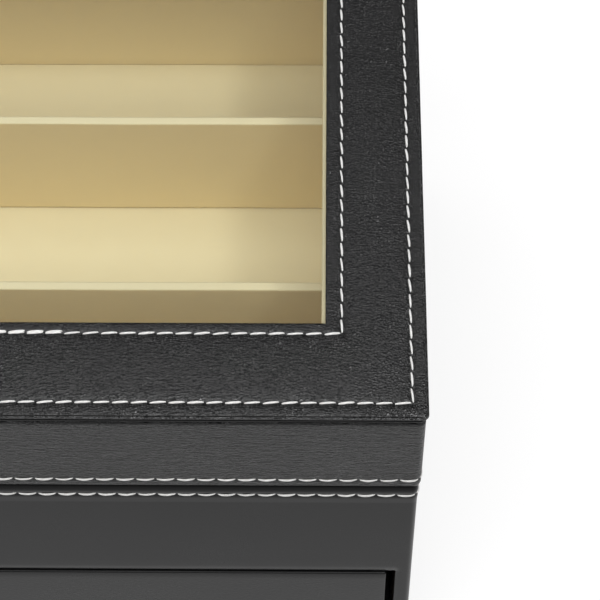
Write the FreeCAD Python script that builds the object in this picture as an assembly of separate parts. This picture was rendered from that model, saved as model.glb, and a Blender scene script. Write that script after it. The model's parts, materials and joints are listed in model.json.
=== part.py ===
import FreeCAD, Part
import math
import os

# Sunglasses display case: a leather-covered box with a hinged lid that has a glass window, an open tray of
# six slots under it, and a drawer of six more slots below. Millimetres. +Z is up, the front faces -Y, and
# the origin is the middle of the face that the case stands on.

# Slots of the upper tray
slot_length = 160.5
slot_depth = 56.5
columns = 2
rows = 3
divider_thickness = 2.7
divider_height = 43.0
divider_crown = 1.2

# Sheet goods
leather = 0.65
board = 3.6
lining = 1.5
floor_lining = 1.5
felt = 1.0
felt_inset = 3.0
bottom_board = 6.0
shelf_board = 3.95
cavity_liner = 0.65
turn_in = 8.0

# Outer shape of the body
corner_radius = 2.5
rim_radius = 1.3
mouth_radius = 1.8
rim_above_dividers = 1.7
lip_height = 3.0

# Lid
lid_gap = 0.6
lip_clearance = 0.3
skirt_height = 33.1
skirt_overhang = 0.5
lid_lining_gap = 0.5
bead_thickness = 2.1
bead_overhang = 0.1
bead_radius = 0.8
panel_thickness = 1.5
panel_overhang = 0.6
panel_corner_radius = 1.2
panel_edge_radius = 0.4
side_frame_width = 26.0
end_frame_width = 28.2
glass_thickness = 2.0
glass_margin = 7.0
glass_clearance = 0.15
retainer_thickness = 1.5
retainer_lip = 1.0

# Drawer
drawer_front_height = 51.2
drawer_gap_top = 2.2
drawer_gap_bottom = 0.85
drawer_gap_side = 2.3
drawer_gap_back = 0.3
drawer_slide_gap = 0.3
drawer_wall = 3.0
drawer_wall_drop = 1.2
drawer_bottom_board = 3.0
drawer_lining = 1.2
drawer_floor_lining = 1.2
drawer_divider_drop = 3.3
drawer_edge_radius = 1.0

# Hinges, a pair whose stop plates meet when the lid stands at lid_stop_angle
hinge_from_end = 62.6
hinge_leaf_height = 14.0
hinge_sheet = 0.9
hinge_pin_radius = 1.0
hinge_pin_clearance = 0.03
knuckle_gap = 0.2
knuckle_middle = 13.6
knuckle_outer = 8.0
lid_stop_angle = 95.0
stop_plate_angle = -38.0
stop_plate_width = 2.7
stop_plate_gap = 0.1
stop_plate_clearance = 0.4
hinge_screw_margin = 6.0
hinge_screw_drop = 8.5

# Screws
screw_head_radius = 1.7
screw_shank_radius = 0.9
screw_head_depth = 0.8
screw_tip_cover = 0.2
screw_clearance = 0.05
recess_width = 0.4
recess_reach = 1.0
recess_depth = 0.5

# Lock on the front
lock_top_below_rim = 2.7
lock_depth = 7.5
lock_wall = 1.5
lock_room_above = 2.1
lock_room_beside = 5.5
lock_below_plug = 11.0
lock_edge_radius = 0.8
lock_ear_width = 6.0
lock_ear_height = 11.0
lock_ear_thickness = 1.6
lock_ear_radius = 2.7
plug_radius = 4.45
plug_clearance = 0.05
plug_flange_rim = 1.15
plug_flange = 0.8
plug_rear_gap = 0.75
clip_rim = 1.3
clip_thickness = 0.6
clip_groove = 0.5
clip_gap = 0.1
clip_opening = 5.0
cam_thickness = 1.2
cam_square = 3.6
cam_eye = 0.85
cam_arm_width = 4.0
cam_hook_length = 5.0
cam_hook_height = 1.8
strike_thickness = 1.2
strike_height = 12.5
strike_rise = 1.5
strike_screw_spacing = 20.0
tongue_width = 18.0
tongue_leg = 3.4
tongue_foot = 6.4
tongue_foot_height = 2.0
tongue_foot_gap = 0.6
tongue_hub_gap = 0.2
tongue_slot_clearance = 0.5
tongue_slot_front = 0.8
tongue_strip_gap = 0.3
key_thickness = 1.5
key_blade_height = 4.6
key_clearance = 0.1
keyway_floor = 1.5
key_neck_length = 3.0
key_neck_height = 3.4
key_bow_radius = 6.5
key_bow_overlap = 0.6
key_bow_hole_radius = 1.7
key_bow_hole_rim = 1.6

# Drawer knob
knob_base_radius = 5.0
knob_neck_radius = 3.2
knob_head_radius = 7.5
knob_rim_radius = 1.6
knob_base_height = 2.0
knob_cove_height = 2.0
knob_neck_length = 4.5
knob_head_height = 6.5
knob_face = 7.0
knob_screw_radius = 1.5
knob_screw_rim = 1.4
knob_screw_head = 1.6
knob_screw_clearance = 0.1

# Shares that keep a rounding inside the wall that it rounds
fillet_share = 0.45
corner_share = 0.8
skin_share = 3.2

# Plan of the body, worked out from the slots
tray_half_x = (columns * slot_length + (columns - 1) * divider_thickness) / 2
tray_half_y = (rows * slot_depth + (rows - 1) * divider_thickness) / 2
cavity_half_x = tray_half_x + lining
cavity_half_y = tray_half_y + lining
shell_half_x = cavity_half_x + board
shell_half_y = cavity_half_y + board
body_half_x = shell_half_x + leather
body_half_y = shell_half_y + leather
body_front = -body_half_y
opening_half_x = cavity_half_x - leather

# Heights
z_bottom_top = felt + bottom_board
z_opening_bottom = z_bottom_top + leather
z_drawer_front_bottom = z_opening_bottom + drawer_gap_bottom
z_drawer_front_top = z_drawer_front_bottom + drawer_front_height
z_opening_top = z_drawer_front_top + drawer_gap_top
z_shelf_bottom = z_opening_top + leather
z_shelf_top = z_shelf_bottom + shelf_board
z_tray_floor = z_shelf_top + floor_lining
z_rim = z_tray_floor + divider_height + rim_above_dividers
z_board_top = z_rim - leather
z_lip = z_rim + lip_height
z_lid_bottom = z_rim + lid_gap
z_lid_lining = z_lip + lid_lining_gap
z_skirt_top = z_lid_bottom + skirt_height
z_bead_top = z_skirt_top + bead_thickness
z_top = z_bead_top + panel_thickness
z_retainer_bottom = z_skirt_top - retainer_thickness

# Plan of the lid. Its back lies flush with the body's, so that the hinge leaves lie flat.
lid_throat_half_x = cavity_half_x + lip_clearance
lid_throat_half_y = cavity_half_y + lip_clearance
lid_board_half_x = lid_throat_half_x + leather
lid_board_half_y = lid_throat_half_y + leather
skirt_half_x = body_half_x + skirt_overhang
skirt_front = body_front - skirt_overhang
skirt_back = body_half_y
bead_half_x = skirt_half_x + bead_overhang
bead_front = skirt_front - bead_overhang
bead_back = skirt_back + bead_overhang
panel_half_x = skirt_half_x + panel_overhang
panel_front = skirt_front - panel_overhang
panel_back = skirt_back + panel_overhang
window_half_x = panel_half_x - side_frame_width
window_front = panel_front + end_frame_width
window_back = panel_back - end_frame_width

# Hinge line and leaves
knuckle_radius = hinge_pin_radius + hinge_sheet
hinge_y = body_half_y + knuckle_radius
hinge_z = z_rim + lid_gap / 2
hinge_face = body_half_y + hinge_sheet
hinge_length = knuckle_middle + 2 * (knuckle_gap + knuckle_outer)
hinge_screw_spacing = hinge_length - 2 * hinge_screw_margin
hinge_x = body_half_x - hinge_from_end
hinge_centres = [-hinge_x, hinge_x]
hinge_offsets = [-hinge_screw_spacing / 2, hinge_screw_spacing / 2]
stop_plate_start = knuckle_radius + stop_plate_clearance
stop_plate_reach = stop_plate_start + stop_plate_width

# Drawer box
drawer_half_x = opening_half_x - drawer_gap_side
drawer_box_front = -cavity_half_y
drawer_box_back = cavity_half_y - drawer_gap_back
z_drawer_bottom = z_bottom_top + cavity_liner + drawer_slide_gap
z_drawer_floor = z_drawer_bottom + drawer_bottom_board
z_drawer_lining = z_drawer_floor + drawer_floor_lining
z_drawer_wall_top = z_drawer_front_top - drawer_wall_drop
drawer_divider_height = z_drawer_wall_top - drawer_divider_drop - z_drawer_lining
drawer_inner_half_x = drawer_half_x - drawer_wall - drawer_lining
drawer_inner_front = drawer_box_front + drawer_lining
drawer_inner_back = drawer_box_back - drawer_wall - drawer_lining
drawer_slot_length = (2 * drawer_inner_half_x - (columns - 1) * divider_thickness) / columns
drawer_slot_depth = (drawer_inner_back - drawer_inner_front - (rows - 1) * divider_thickness) / rows
z_knob = (z_drawer_front_bottom + z_drawer_front_top) / 2
knob_screw_head_radius = knob_screw_radius + knob_screw_rim
knob_screw_seat = drawer_box_front - knob_screw_head

# Lock. The cam turns in the plane of the tongue, and its hook comes over the tongue's foot.
cam_hub_radius = cam_square / math.sqrt(2) + cam_eye
cam_reach = cam_hub_radius + tongue_hub_gap + tongue_foot_height + tongue_foot_gap + cam_hook_height
cam_swing = math.hypot(cam_reach, cam_hook_length)
lock_half_width = cam_reach + lock_room_beside + lock_wall
z_lock_top = z_rim - lock_top_below_rim
z_lock = z_lock_top - lock_wall - lock_room_above - cam_swing
z_lock_bottom = z_lock - lock_below_plug
z_foot_top = z_lock + cam_reach - cam_hook_height - tongue_foot_gap
z_tongue_strip = z_lock + cam_swing + tongue_strip_gap
z_strike = z_lid_bottom + strike_rise
lock_front = body_front - lock_depth
lock_ear_face = body_front - lock_ear_thickness
strike_face = skirt_front - strike_thickness
cam_middle = (skirt_front + strike_face) / 2
cam_front = cam_middle - cam_thickness / 2
cam_back = cam_middle + cam_thickness / 2
plug_front = lock_front - plug_flange
plug_rear = min(strike_face, cam_front) - plug_rear_gap
key_blade_length = plug_rear - plug_front - keyway_floor

# Screws are all alike, and as long as the thinnest wall under one of them allows
wall_under_hinge = hinge_sheet + skirt_back - lid_board_half_y
wall_under_strike = strike_thickness - skirt_front - lid_board_half_y
wall_under_lock = lock_ear_thickness + leather + board
screw_length = min(wall_under_hinge, wall_under_strike, wall_under_lock) - screw_tip_cover
body_hinge_screws = [(c + d, hinge_z - hinge_screw_drop) for c in hinge_centres for d in hinge_offsets]
lid_hinge_screws = [(c + d, hinge_z + hinge_screw_drop) for c in hinge_centres for d in hinge_offsets]
lock_ear_x = lock_half_width + lock_ear_width / 2
lock_screws = [(-lock_ear_x, z_lock), (lock_ear_x, z_lock)]
z_strike_screws = z_strike + strike_height / 2
strike_screws = [(-strike_screw_spacing / 2, z_strike_screws), (strike_screw_spacing / 2, z_strike_screws)]

X_AXIS = FreeCAD.Vector(1, 0, 0)
Y_AXIS = FreeCAD.Vector(0, 1, 0)
ORIGIN = FreeCAD.Vector(0, 0, 0)
TOLERANCE = 1e-6
os.makedirs("parts", exist_ok=True)


def save(name, shape):
    """One STEP file for one named piece, or for one group of like fasteners."""
    for solid in shape.Solids:
        if not solid.isValid():
            raise ValueError(name + " has a faulty solid")
    shape.exportStep("parts/" + name + ".step")
    print(name, len(shape.Solids), "solid(s)", round(shape.Volume, 1), "mm3")


def save_pair(left_name, right_name, right_piece):
    """A piece on the right, and its mirror image on the left."""
    save(right_name, right_piece)
    save(left_name, right_piece.mirror(ORIGIN, X_AXIS))


def block(x0, x1, y0, y1, z0, z1):
    return Part.makeBox(x1 - x0, y1 - y0, z1 - z0, FreeCAD.Vector(x0, y0, z0))


def near(a, b):
    return abs(a - b) < TOLERANCE


def edges_at(shape, chosen):
    """The edges whose middle point and run from end to end pass the test."""
    found = []
    for edge in shape.Edges:
        middle = edge.valueAt((edge.FirstParameter + edge.LastParameter) / 2)
        run = edge.Vertexes[-1].Point - edge.Vertexes[0].Point
        if chosen(middle, run):
            found.append(edge)
    return found


def round_upright(shape, radius):
    """Rounds the upright edges."""
    return shape.makeFillet(radius, edges_at(shape, lambda middle, run: near(run.x, 0) and near(run.y, 0)))


def round_level(shape, z, radius):
    """Rounds the edges at height z."""
    return shape.makeFillet(radius, edges_at(shape, lambda middle, run: near(middle.z, z)))


def round_block(half_x, y0, y1, z0, z1, radius):
    """A block that is centred in X, with rounded corners in plan."""
    return round_upright(block(-half_x, half_x, y0, y1, z0, z1), radius)


def cylinder_x(x0, x1, y, z, radius):
    return Part.makeCylinder(radius, x1 - x0, FreeCAD.Vector(x0, y, z), X_AXIS)


def cylinder_y(x, z, y0, y1, radius):
    return Part.makeCylinder(radius, y1 - y0, FreeCAD.Vector(x, y0, z), Y_AXIS)


def screw_body(x, z, y_face, inward, grow):
    """A countersunk screw along Y, its head flush with y_face. inward is +1 or -1. grow makes its hole."""
    direction = FreeCAD.Vector(0, inward, 0)
    start = FreeCAD.Vector(x, y_face, z)
    head_radius, shank_radius = screw_head_radius + grow, screw_shank_radius + grow
    head = Part.makeCone(head_radius, shank_radius, screw_head_depth, start, direction)
    shank = Part.makeCylinder(shank_radius, screw_length + grow, start, direction)
    return head.fuse(shank).removeSplitter()


def screw(x, z, y_face, inward):
    """The screw with its cross recess."""
    y_end = y_face + inward * recess_depth
    low, high = min(y_face, y_end), max(y_face, y_end)
    half = recess_width / 2
    bar = block(x - recess_reach, x + recess_reach, low, high, z - half, z + half)
    post = block(x - half, x + half, low, high, z - recess_reach, z + recess_reach)
    return screw_body(x, z, y_face, inward, 0).cut(bar.fuse(post))


def save_screws(name, places, y_face, inward):
    save(name, Part.makeCompound([screw(x, z, y_face, inward) for x, z in places]))


def drill(shape, places, y_face, inward):
    for x, z in places:
        shape = shape.cut(screw_body(x, z, y_face, inward, screw_clearance))
    return shape


def body_core():
    """The space that the body's boards fill, inside the leather."""
    return round_block(shell_half_x, -shell_half_y, shell_half_y, felt, z_board_top, corner_radius - leather)


def make_carcass():
    core = body_core()
    bottom = block(-shell_half_x, shell_half_x, -shell_half_y, shell_half_y, felt, z_bottom_top)
    save("bottom_board", bottom.common(core))
    side = block(cavity_half_x, shell_half_x, -shell_half_y, shell_half_y, z_bottom_top, z_board_top)
    save_pair("left_side_board", "right_side_board", side.common(core))
    back = block(-cavity_half_x, cavity_half_x, cavity_half_y, shell_half_y, z_bottom_top, z_board_top)
    save("back_board", drill(back, body_hinge_screws, hinge_face, -1))
    rail = block(-cavity_half_x, cavity_half_x, -shell_half_y, -cavity_half_y, z_shelf_bottom, z_board_top)
    save("front_rail_board", drill(rail, lock_screws, lock_ear_face, 1))
    shelf = block(-cavity_half_x, cavity_half_x, -cavity_half_y, cavity_half_y, z_shelf_bottom, z_shelf_top)
    save("shelf_board", shelf)
    felt_half_x = body_half_x - felt_inset
    felt_half_y = body_half_y - felt_inset
    save("base_felt", block(-felt_half_x, felt_half_x, -felt_half_y, felt_half_y, 0, felt))
    save("cavity_floor_liner", block(-cavity_half_x, cavity_half_x, turn_in - shell_half_y, cavity_half_y,
                                     z_bottom_top, z_bottom_top + cavity_liner))


def make_body_leather():
    """One skin round the body, turned in over the rim and into the mouth of the drawer."""
    skin = round_block(body_half_x, body_front, body_half_y, felt, z_rim, corner_radius)
    skin = round_level(skin, z_rim, min(rim_radius, corner_share * corner_radius))
    skin = skin.cut(body_core())
    skin = skin.cut(block(-cavity_half_x, cavity_half_x, -cavity_half_y, cavity_half_y, felt, z_rim))
    skin = skin.cut(block(-opening_half_x, opening_half_x, body_front, -cavity_half_y,
                          z_opening_bottom, z_opening_top))
    turn_in_end = turn_in - shell_half_y
    cheek = block(opening_half_x, cavity_half_x, -shell_half_y, turn_in_end, z_bottom_top, z_shelf_bottom)
    sill = block(-opening_half_x, opening_half_x, -shell_half_y, turn_in_end, z_bottom_top, z_opening_bottom)
    lintel = block(-opening_half_x, opening_half_x, -shell_half_y, -cavity_half_y,
                   z_opening_top, z_shelf_bottom)
    skin = skin.fuse([cheek, cheek.mirror(ORIGIN, X_AXIS), sill, lintel]).removeSplitter()
    mouth_levels = (z_opening_bottom, z_opening_top)
    mouth = edges_at(skin, lambda middle, run: near(middle.y, body_front) and (
        near(abs(middle.x), opening_half_x) or any(near(middle.z, z) for z in mouth_levels)))
    skin = skin.makeFillet(min(mouth_radius, skin_share * leather), mouth)
    skin = drill(skin, body_hinge_screws, hinge_face, -1)
    save("body_leather", drill(skin, lock_screws, lock_ear_face, 1))


def make_tray_lining():
    """Suede-covered cards on the floor and walls. The wall cards rise past the rim to guide the lid."""
    end = block(-tray_half_x, tray_half_x, tray_half_y, cavity_half_y, z_shelf_top, z_lip)
    save("tray_lining_back", end)
    save("tray_lining_front", end.mirror(ORIGIN, Y_AXIS))
    side = block(tray_half_x, cavity_half_x, -cavity_half_y, cavity_half_y, z_shelf_top, z_lip)
    save_pair("tray_lining_left", "tray_lining_right", side)
    save("tray_floor_lining", block(-tray_half_x, tray_half_x, -tray_half_y, tray_half_y,
                                    z_shelf_top, z_tray_floor))


def divider(x0, x1, y0, y1, z0, z1):
    """An upright card with a rounded top."""
    card = block(x0, x1, y0, y1, z0, z1)
    along_x = x1 - x0 > y1 - y0
    ridges = edges_at(card, lambda middle, run: near(middle.z, z1) and near(run.y if along_x else run.x, 0))
    return card.makeFillet(min(divider_crown, fillet_share * divider_thickness), ridges)


def make_dividers(prefix, half_x, front, back, z0, height, across, along):
    """An egg crate. The long cards are notched from below and the cross cards from above. across and along
    are the clear length and depth of a slot."""
    z1 = z0 + height
    z_lap = z0 + height / 2
    half = divider_thickness / 2
    long_places = [front + (i + 1) * (along + divider_thickness) - half for i in range(rows - 1)]
    cross_places = [(i + 1) * (across + divider_thickness) - half - half_x for i in range(columns - 1)]
    for i, y in enumerate(long_places):
        card = divider(-half_x, half_x, y - half, y + half, z0, z1)
        for x in cross_places:
            card = card.cut(block(x - half, x + half, y - half, y + half, z0, z_lap))
        save(prefix + "_long_divider_" + str(i + 1), card)
    for i, x in enumerate(cross_places):
        card = divider(x - half, x + half, front, back, z0, z1)
        for y in long_places:
            card = card.cut(block(x - half, x + half, y - half, y + half, z_lap, z1))
        save(prefix + "_cross_divider_" + str(i + 1), card)


def lid_core():
    """The space that the boards of the lid's sides fill, inside the leather."""
    return round_block(skirt_half_x - leather, skirt_front + leather, skirt_back - leather,
                       z_lid_bottom + leather, z_skirt_top, corner_radius - leather)


def make_lid_boards():
    z_low = z_lid_bottom + leather
    y_front, y_back = skirt_front + leather, skirt_back - leather
    side = block(lid_board_half_x, skirt_half_x - leather, y_front, y_back, z_low, z_skirt_top)
    save_pair("lid_left_board", "lid_right_board", side.common(lid_core()))
    front = block(-lid_board_half_x, lid_board_half_x, y_front, -lid_board_half_y, z_low, z_skirt_top)
    save("lid_front_board", drill(front, strike_screws, strike_face, 1))
    back = block(-lid_board_half_x, lid_board_half_x, lid_board_half_y, y_back, z_low, z_skirt_top)
    save("lid_back_board", drill(back, lid_hinge_screws, hinge_face, -1))


def make_lid_skirt_leather():
    """The skin of the lid's sides, turned in under the boards and up to the lining."""
    skin = round_block(skirt_half_x, skirt_front, skirt_back, z_lid_bottom, z_skirt_top, corner_radius)
    skin = round_level(skin, z_lid_bottom, min(rim_radius, corner_share * corner_radius))
    hollow = block(-lid_board_half_x, lid_board_half_x, -lid_board_half_y, lid_board_half_y,
                   z_lid_bottom, z_skirt_top)
    skin = skin.cut(lid_core()).cut(hollow)
    throat = block(-lid_throat_half_x, lid_throat_half_x, -lid_throat_half_y, lid_throat_half_y,
                   z_lid_bottom, z_lid_lining)
    turned = block(-lid_board_half_x, lid_board_half_x, -lid_board_half_y, lid_board_half_y,
                   z_lid_bottom, z_lid_lining).cut(throat)
    skin = skin.fuse(turned).removeSplitter()
    skin = drill(skin, lid_hinge_screws, hinge_face, -1)
    save("lid_skirt_leather", drill(skin, strike_screws, strike_face, 1))


def make_lid_lining():
    """The suede-covered lining of the lid's sides, and the suede-covered card that carries the glass."""
    ring = block(-lid_board_half_x, lid_board_half_x, -lid_board_half_y, lid_board_half_y,
                 z_lid_lining, z_retainer_bottom)
    save("lid_lining", ring.cut(block(-tray_half_x, tray_half_x, -tray_half_y, tray_half_y,
                                      z_lid_lining, z_retainer_bottom)))
    card = block(-lid_board_half_x, lid_board_half_x, -lid_board_half_y, lid_board_half_y,
                 z_retainer_bottom, z_skirt_top)
    light_half_x = window_half_x - retainer_lip
    save("glass_retainer", card.cut(block(-light_half_x, light_half_x, window_front + retainer_lip,
                                          window_back - retainer_lip, z_retainer_bottom, z_skirt_top)))


def make_lid_top():
    """The bead that frames the glass, the glass, and the board and leather of the stitched top panel."""
    glass_half_x = window_half_x + glass_margin
    glass_front, glass_back = window_front - glass_margin, window_back + glass_margin
    rebate_half_x = glass_half_x + glass_clearance
    bead = round_block(bead_half_x, bead_front, bead_back, z_skirt_top, z_bead_top, corner_radius)
    roll = min(bead_radius, fillet_share * bead_thickness, corner_share * corner_radius)
    bead = round_level(round_level(bead, z_bead_top, roll), z_skirt_top, roll)
    save("lid_bead_frame", bead.cut(block(-rebate_half_x, rebate_half_x, glass_front - glass_clearance,
                                          glass_back + glass_clearance, z_skirt_top, z_bead_top)))
    save("glass_pane", block(-glass_half_x, glass_half_x, glass_front, glass_back,
                             z_bead_top - glass_thickness, z_bead_top))
    panel = round_block(panel_half_x, panel_front, panel_back, z_bead_top, z_top, panel_corner_radius)
    panel = round_level(panel, z_top, min(panel_edge_radius, corner_share * panel_corner_radius))
    window = block(-window_half_x, window_half_x, window_front, window_back, z_bead_top, z_top)
    core = round_block(panel_half_x - leather, panel_front + leather, panel_back - leather,
                       z_bead_top, z_top - leather, panel_corner_radius - leather)
    core = core.cut(block(-window_half_x - leather, window_half_x + leather, window_front - leather,
                          window_back + leather, z_bead_top, z_top))
    save("lid_top_board", core)
    save("lid_top_leather", panel.cut(window).cut(core))


def knuckle(x0, x1):
    return cylinder_x(x0, x1, hinge_y, hinge_z, knuckle_radius)


def leaf_plate(x0, x1, z0, z1):
    return block(x0, x1, body_half_y, hinge_face, z0, z1)


def stop_plate(x0, x1, reach_from, v0, v1, angle):
    """A flat plate out from the hinge line. v is measured across it, and angle from +Y towards +Z."""
    plate = block(x0, x1, hinge_y + reach_from, hinge_y + stop_plate_reach, hinge_z + v0, hinge_z + v1)
    plate.rotate(FreeCAD.Vector(0, hinge_y, hinge_z), X_AXIS, angle)
    return plate


def make_hinge(centre, side):
    x0, x1 = centre - hinge_length / 2, centre + hinge_length / 2
    m0, m1 = centre - knuckle_middle / 2, centre + knuckle_middle / 2
    bore = cylinder_x(x0, x1, hinge_y, hinge_z, hinge_pin_radius + hinge_pin_clearance)
    z_low, z_high = hinge_z - hinge_leaf_height, hinge_z + hinge_leaf_height
    leaf_gap = knuckle_radius + knuckle_gap

    body_leaf = leaf_plate(x0, x1, z_low, hinge_z - leaf_gap)
    for a, b in [(x0, x0 + knuckle_outer), (x1 - knuckle_outer, x1)]:
        body_leaf = body_leaf.fuse([knuckle(a, b), leaf_plate(a, b, z_low, hinge_z),
                                    stop_plate(a, b, hinge_pin_radius, -hinge_sheet, 0, stop_plate_angle)])
    bar = stop_plate(x0, x1, stop_plate_start, -hinge_sheet, 0, stop_plate_angle)
    body_leaf = body_leaf.fuse(bar).cut(bore).removeSplitter()
    save("hinge_body_leaf_" + side, drill(body_leaf, body_hinge_screws, hinge_face, -1))

    tail = stop_plate(m0, m1, hinge_pin_radius, stop_plate_gap, stop_plate_gap + hinge_sheet,
                      stop_plate_angle + lid_stop_angle)
    lid_leaf = leaf_plate(x0, x1, hinge_z + leaf_gap, z_high)
    lid_leaf = lid_leaf.fuse([knuckle(m0, m1), leaf_plate(m0, m1, hinge_z, z_high), tail])
    lid_leaf = lid_leaf.cut(bore).removeSplitter()
    save("hinge_lid_leaf_" + side, drill(lid_leaf, lid_hinge_screws, hinge_face, -1))
    save("hinge_pin_" + side, cylinder_x(x0, x1, hinge_y, hinge_z, hinge_pin_radius))


def make_lock_case():
    """A box lock with an ear on each side, and a slot in its top for the lid's tongue."""
    case = block(-lock_half_width, lock_half_width, lock_front, body_front, z_lock_bottom, z_lock_top)
    face_and_corners = edges_at(case, lambda middle, run: near(middle.y, lock_front) or (
        near(run.x, 0) and near(run.z, 0)))
    case = case.makeFillet(lock_edge_radius, face_and_corners)
    room = lock_half_width - lock_wall
    inside = block(-room, room, lock_front + lock_wall, body_front,
                   z_lock_bottom + lock_wall, z_lock_top - lock_wall)
    reach = lock_half_width + lock_ear_width
    ear = block(-reach, reach, lock_ear_face, body_front,
                z_lock - lock_ear_height / 2, z_lock + lock_ear_height / 2)
    ear_edges = edges_at(ear, lambda middle, run: near(run.x, 0) and near(run.z, 0))
    ear = ear.makeFillet(min(lock_ear_radius, fillet_share * lock_ear_height), ear_edges)
    slot_half = tongue_width / 2 + tongue_slot_clearance
    slot = block(-slot_half, slot_half, strike_face - tongue_slot_front, body_front,
                 z_lock_top - lock_wall, z_lock_top)
    bore = cylinder_y(0, z_lock, lock_front, lock_front + lock_wall, plug_radius + plug_clearance)
    case = case.fuse(ear).cut(inside).cut(slot).cut(bore).removeSplitter()
    save("lock_case", drill(case, lock_screws, lock_ear_face, 1))
    save_screws("lock_screws", lock_screws, lock_ear_face, 1)


def make_plug():
    """The plug with its keyway, the clip that holds it in the case, and the cam on its square end."""
    groove_front = lock_front + lock_wall + clip_gap
    groove_back = groove_front + clip_thickness
    groove_radius = plug_radius - clip_groove
    plug = cylinder_y(0, z_lock, lock_front, plug_rear, plug_radius)
    groove = cylinder_y(0, z_lock, groove_front, groove_back, plug_radius).cut(
        cylinder_y(0, z_lock, groove_front, groove_back, groove_radius))
    flange = cylinder_y(0, z_lock, plug_front, lock_front, plug_radius + plug_flange_rim)
    spacer = cylinder_y(0, z_lock, plug_rear, cam_front, cam_hub_radius)
    half = cam_square / 2
    square = block(-half, half, cam_front, cam_back, z_lock - half, z_lock + half)
    slot_x = key_thickness / 2 + key_clearance
    slot_z = key_blade_height / 2 + key_clearance
    keyway = block(-slot_x, slot_x, plug_front, plug_front + key_blade_length + key_clearance,
                   z_lock - slot_z, z_lock + slot_z)
    save("lock_plug", plug.cut(groove).fuse([flange, spacer, square]).cut(keyway).removeSplitter())

    clip = cylinder_y(0, z_lock, groove_front, groove_back, plug_radius + clip_rim)
    clip = clip.cut(cylinder_y(0, z_lock, groove_front, groove_back, groove_radius))
    save("plug_clip", clip.cut(block(-clip_opening / 2, clip_opening / 2, groove_front, groove_back,
                                     z_lock - plug_radius - clip_rim, z_lock)))

    hub = cylinder_y(0, z_lock, cam_front, cam_back, cam_hub_radius)
    arm = block(0, cam_reach, cam_front, cam_back, z_lock - cam_arm_width / 2, z_lock + cam_arm_width / 2)
    hook = block(cam_reach - cam_hook_height, cam_reach, cam_front, cam_back,
                 z_lock, z_lock + cam_hook_length)
    grip = half + plug_clearance
    hole = block(-grip, grip, cam_front, cam_back, z_lock - grip, z_lock + grip)
    save("lock_cam", hub.fuse([arm, hook]).cut(hole).removeSplitter())


def make_strike():
    """The plate on the lid. Its tongue reaches down into the lock and ends in a foot for the cam's hook."""
    plate = block(-lock_half_width, lock_half_width, strike_face, skirt_front,
                  z_strike, z_strike + strike_height)
    plate_corners = edges_at(plate, lambda middle, run: near(run.x, 0) and near(run.z, 0))
    plate = plate.makeFillet(lock_edge_radius, plate_corners)
    reach = tongue_width / 2
    z_foot = z_foot_top - tongue_foot_height
    strip = block(-reach, reach, strike_face, skirt_front, z_tongue_strip, z_strike + lock_edge_radius)
    leg = block(-reach, tongue_leg - reach, strike_face, skirt_front, z_foot, z_tongue_strip)
    foot = block(-reach, tongue_foot - reach, strike_face, skirt_front, z_foot, z_foot_top)
    strike = plate.fuse([strip, leg, foot]).removeSplitter()
    save("lock_strike", drill(strike, strike_screws, strike_face, 1))
    save_screws("strike_screws", strike_screws, strike_face, 1)


def make_key():
    half = key_thickness / 2
    tip = plug_front + key_blade_length
    neck = block(-half, half, plug_front - key_neck_length, tip, z_lock - key_neck_height / 2,
                 z_lock + key_neck_height / 2)
    bit = block(-half, half, plug_front, tip, z_lock - key_blade_height / 2, z_lock + key_blade_height / 2)
    bow_y = plug_front - key_neck_length - key_bow_radius + key_bow_overlap
    hole_y = bow_y - key_bow_radius + key_bow_hole_rim + key_bow_hole_radius
    bow = cylinder_x(-half, half, bow_y, z_lock, key_bow_radius)
    hole = cylinder_x(-half, half, hole_y, z_lock, key_bow_hole_radius)
    save("key", neck.fuse([bit, bow]).cut(hole).removeSplitter())


def make_drawer_box():
    z0, z1 = z_drawer_front_bottom, z_drawer_front_top
    hole = cylinder_y(0, z_knob, body_front, drawer_box_front, knob_screw_radius + knob_screw_clearance)
    sink_radius = knob_screw_head_radius + knob_screw_clearance
    sink = cylinder_y(0, z_knob, knob_screw_seat, drawer_box_front, sink_radius)
    front = block(-drawer_half_x, drawer_half_x, body_front, drawer_box_front, z0, z1)
    front_edges = edges_at(front, lambda middle, run: near(middle.y, body_front))
    front = front.makeFillet(min(drawer_edge_radius, skin_share * leather), front_edges)
    core = block(leather - drawer_half_x, drawer_half_x - leather, -shell_half_y, drawer_box_front,
                 z0 + leather, z1 - leather)
    save("drawer_front_leather", front.cut(core).cut(hole))
    save("drawer_front_board", core.cut(hole).cut(sink))

    x_in, x_out = drawer_half_x - drawer_wall, drawer_half_x
    side = block(x_in, x_out, drawer_box_front, drawer_box_back, z_drawer_floor, z_drawer_wall_top)
    save_pair("drawer_left_board", "drawer_right_board", side)
    save("drawer_back_board", block(-x_in, x_in, drawer_box_back - drawer_wall, drawer_box_back,
                                    z_drawer_floor, z_drawer_wall_top))
    save("drawer_bottom_board", block(-x_out, x_out, drawer_box_front, drawer_box_back,
                                      z_drawer_bottom, z_drawer_floor))

    inside = block(-drawer_inner_half_x, drawer_inner_half_x, drawer_inner_front, drawer_inner_back,
                   z_drawer_floor, z_drawer_wall_top)
    ring = block(-x_in, x_in, drawer_box_front, drawer_box_back - drawer_wall,
                 z_drawer_floor, z_drawer_wall_top)
    save("drawer_lining", ring.cut(inside))
    save("drawer_floor_lining", block(-drawer_inner_half_x, drawer_inner_half_x, drawer_inner_front,
                                      drawer_inner_back, z_drawer_floor, z_drawer_lining))


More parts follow.
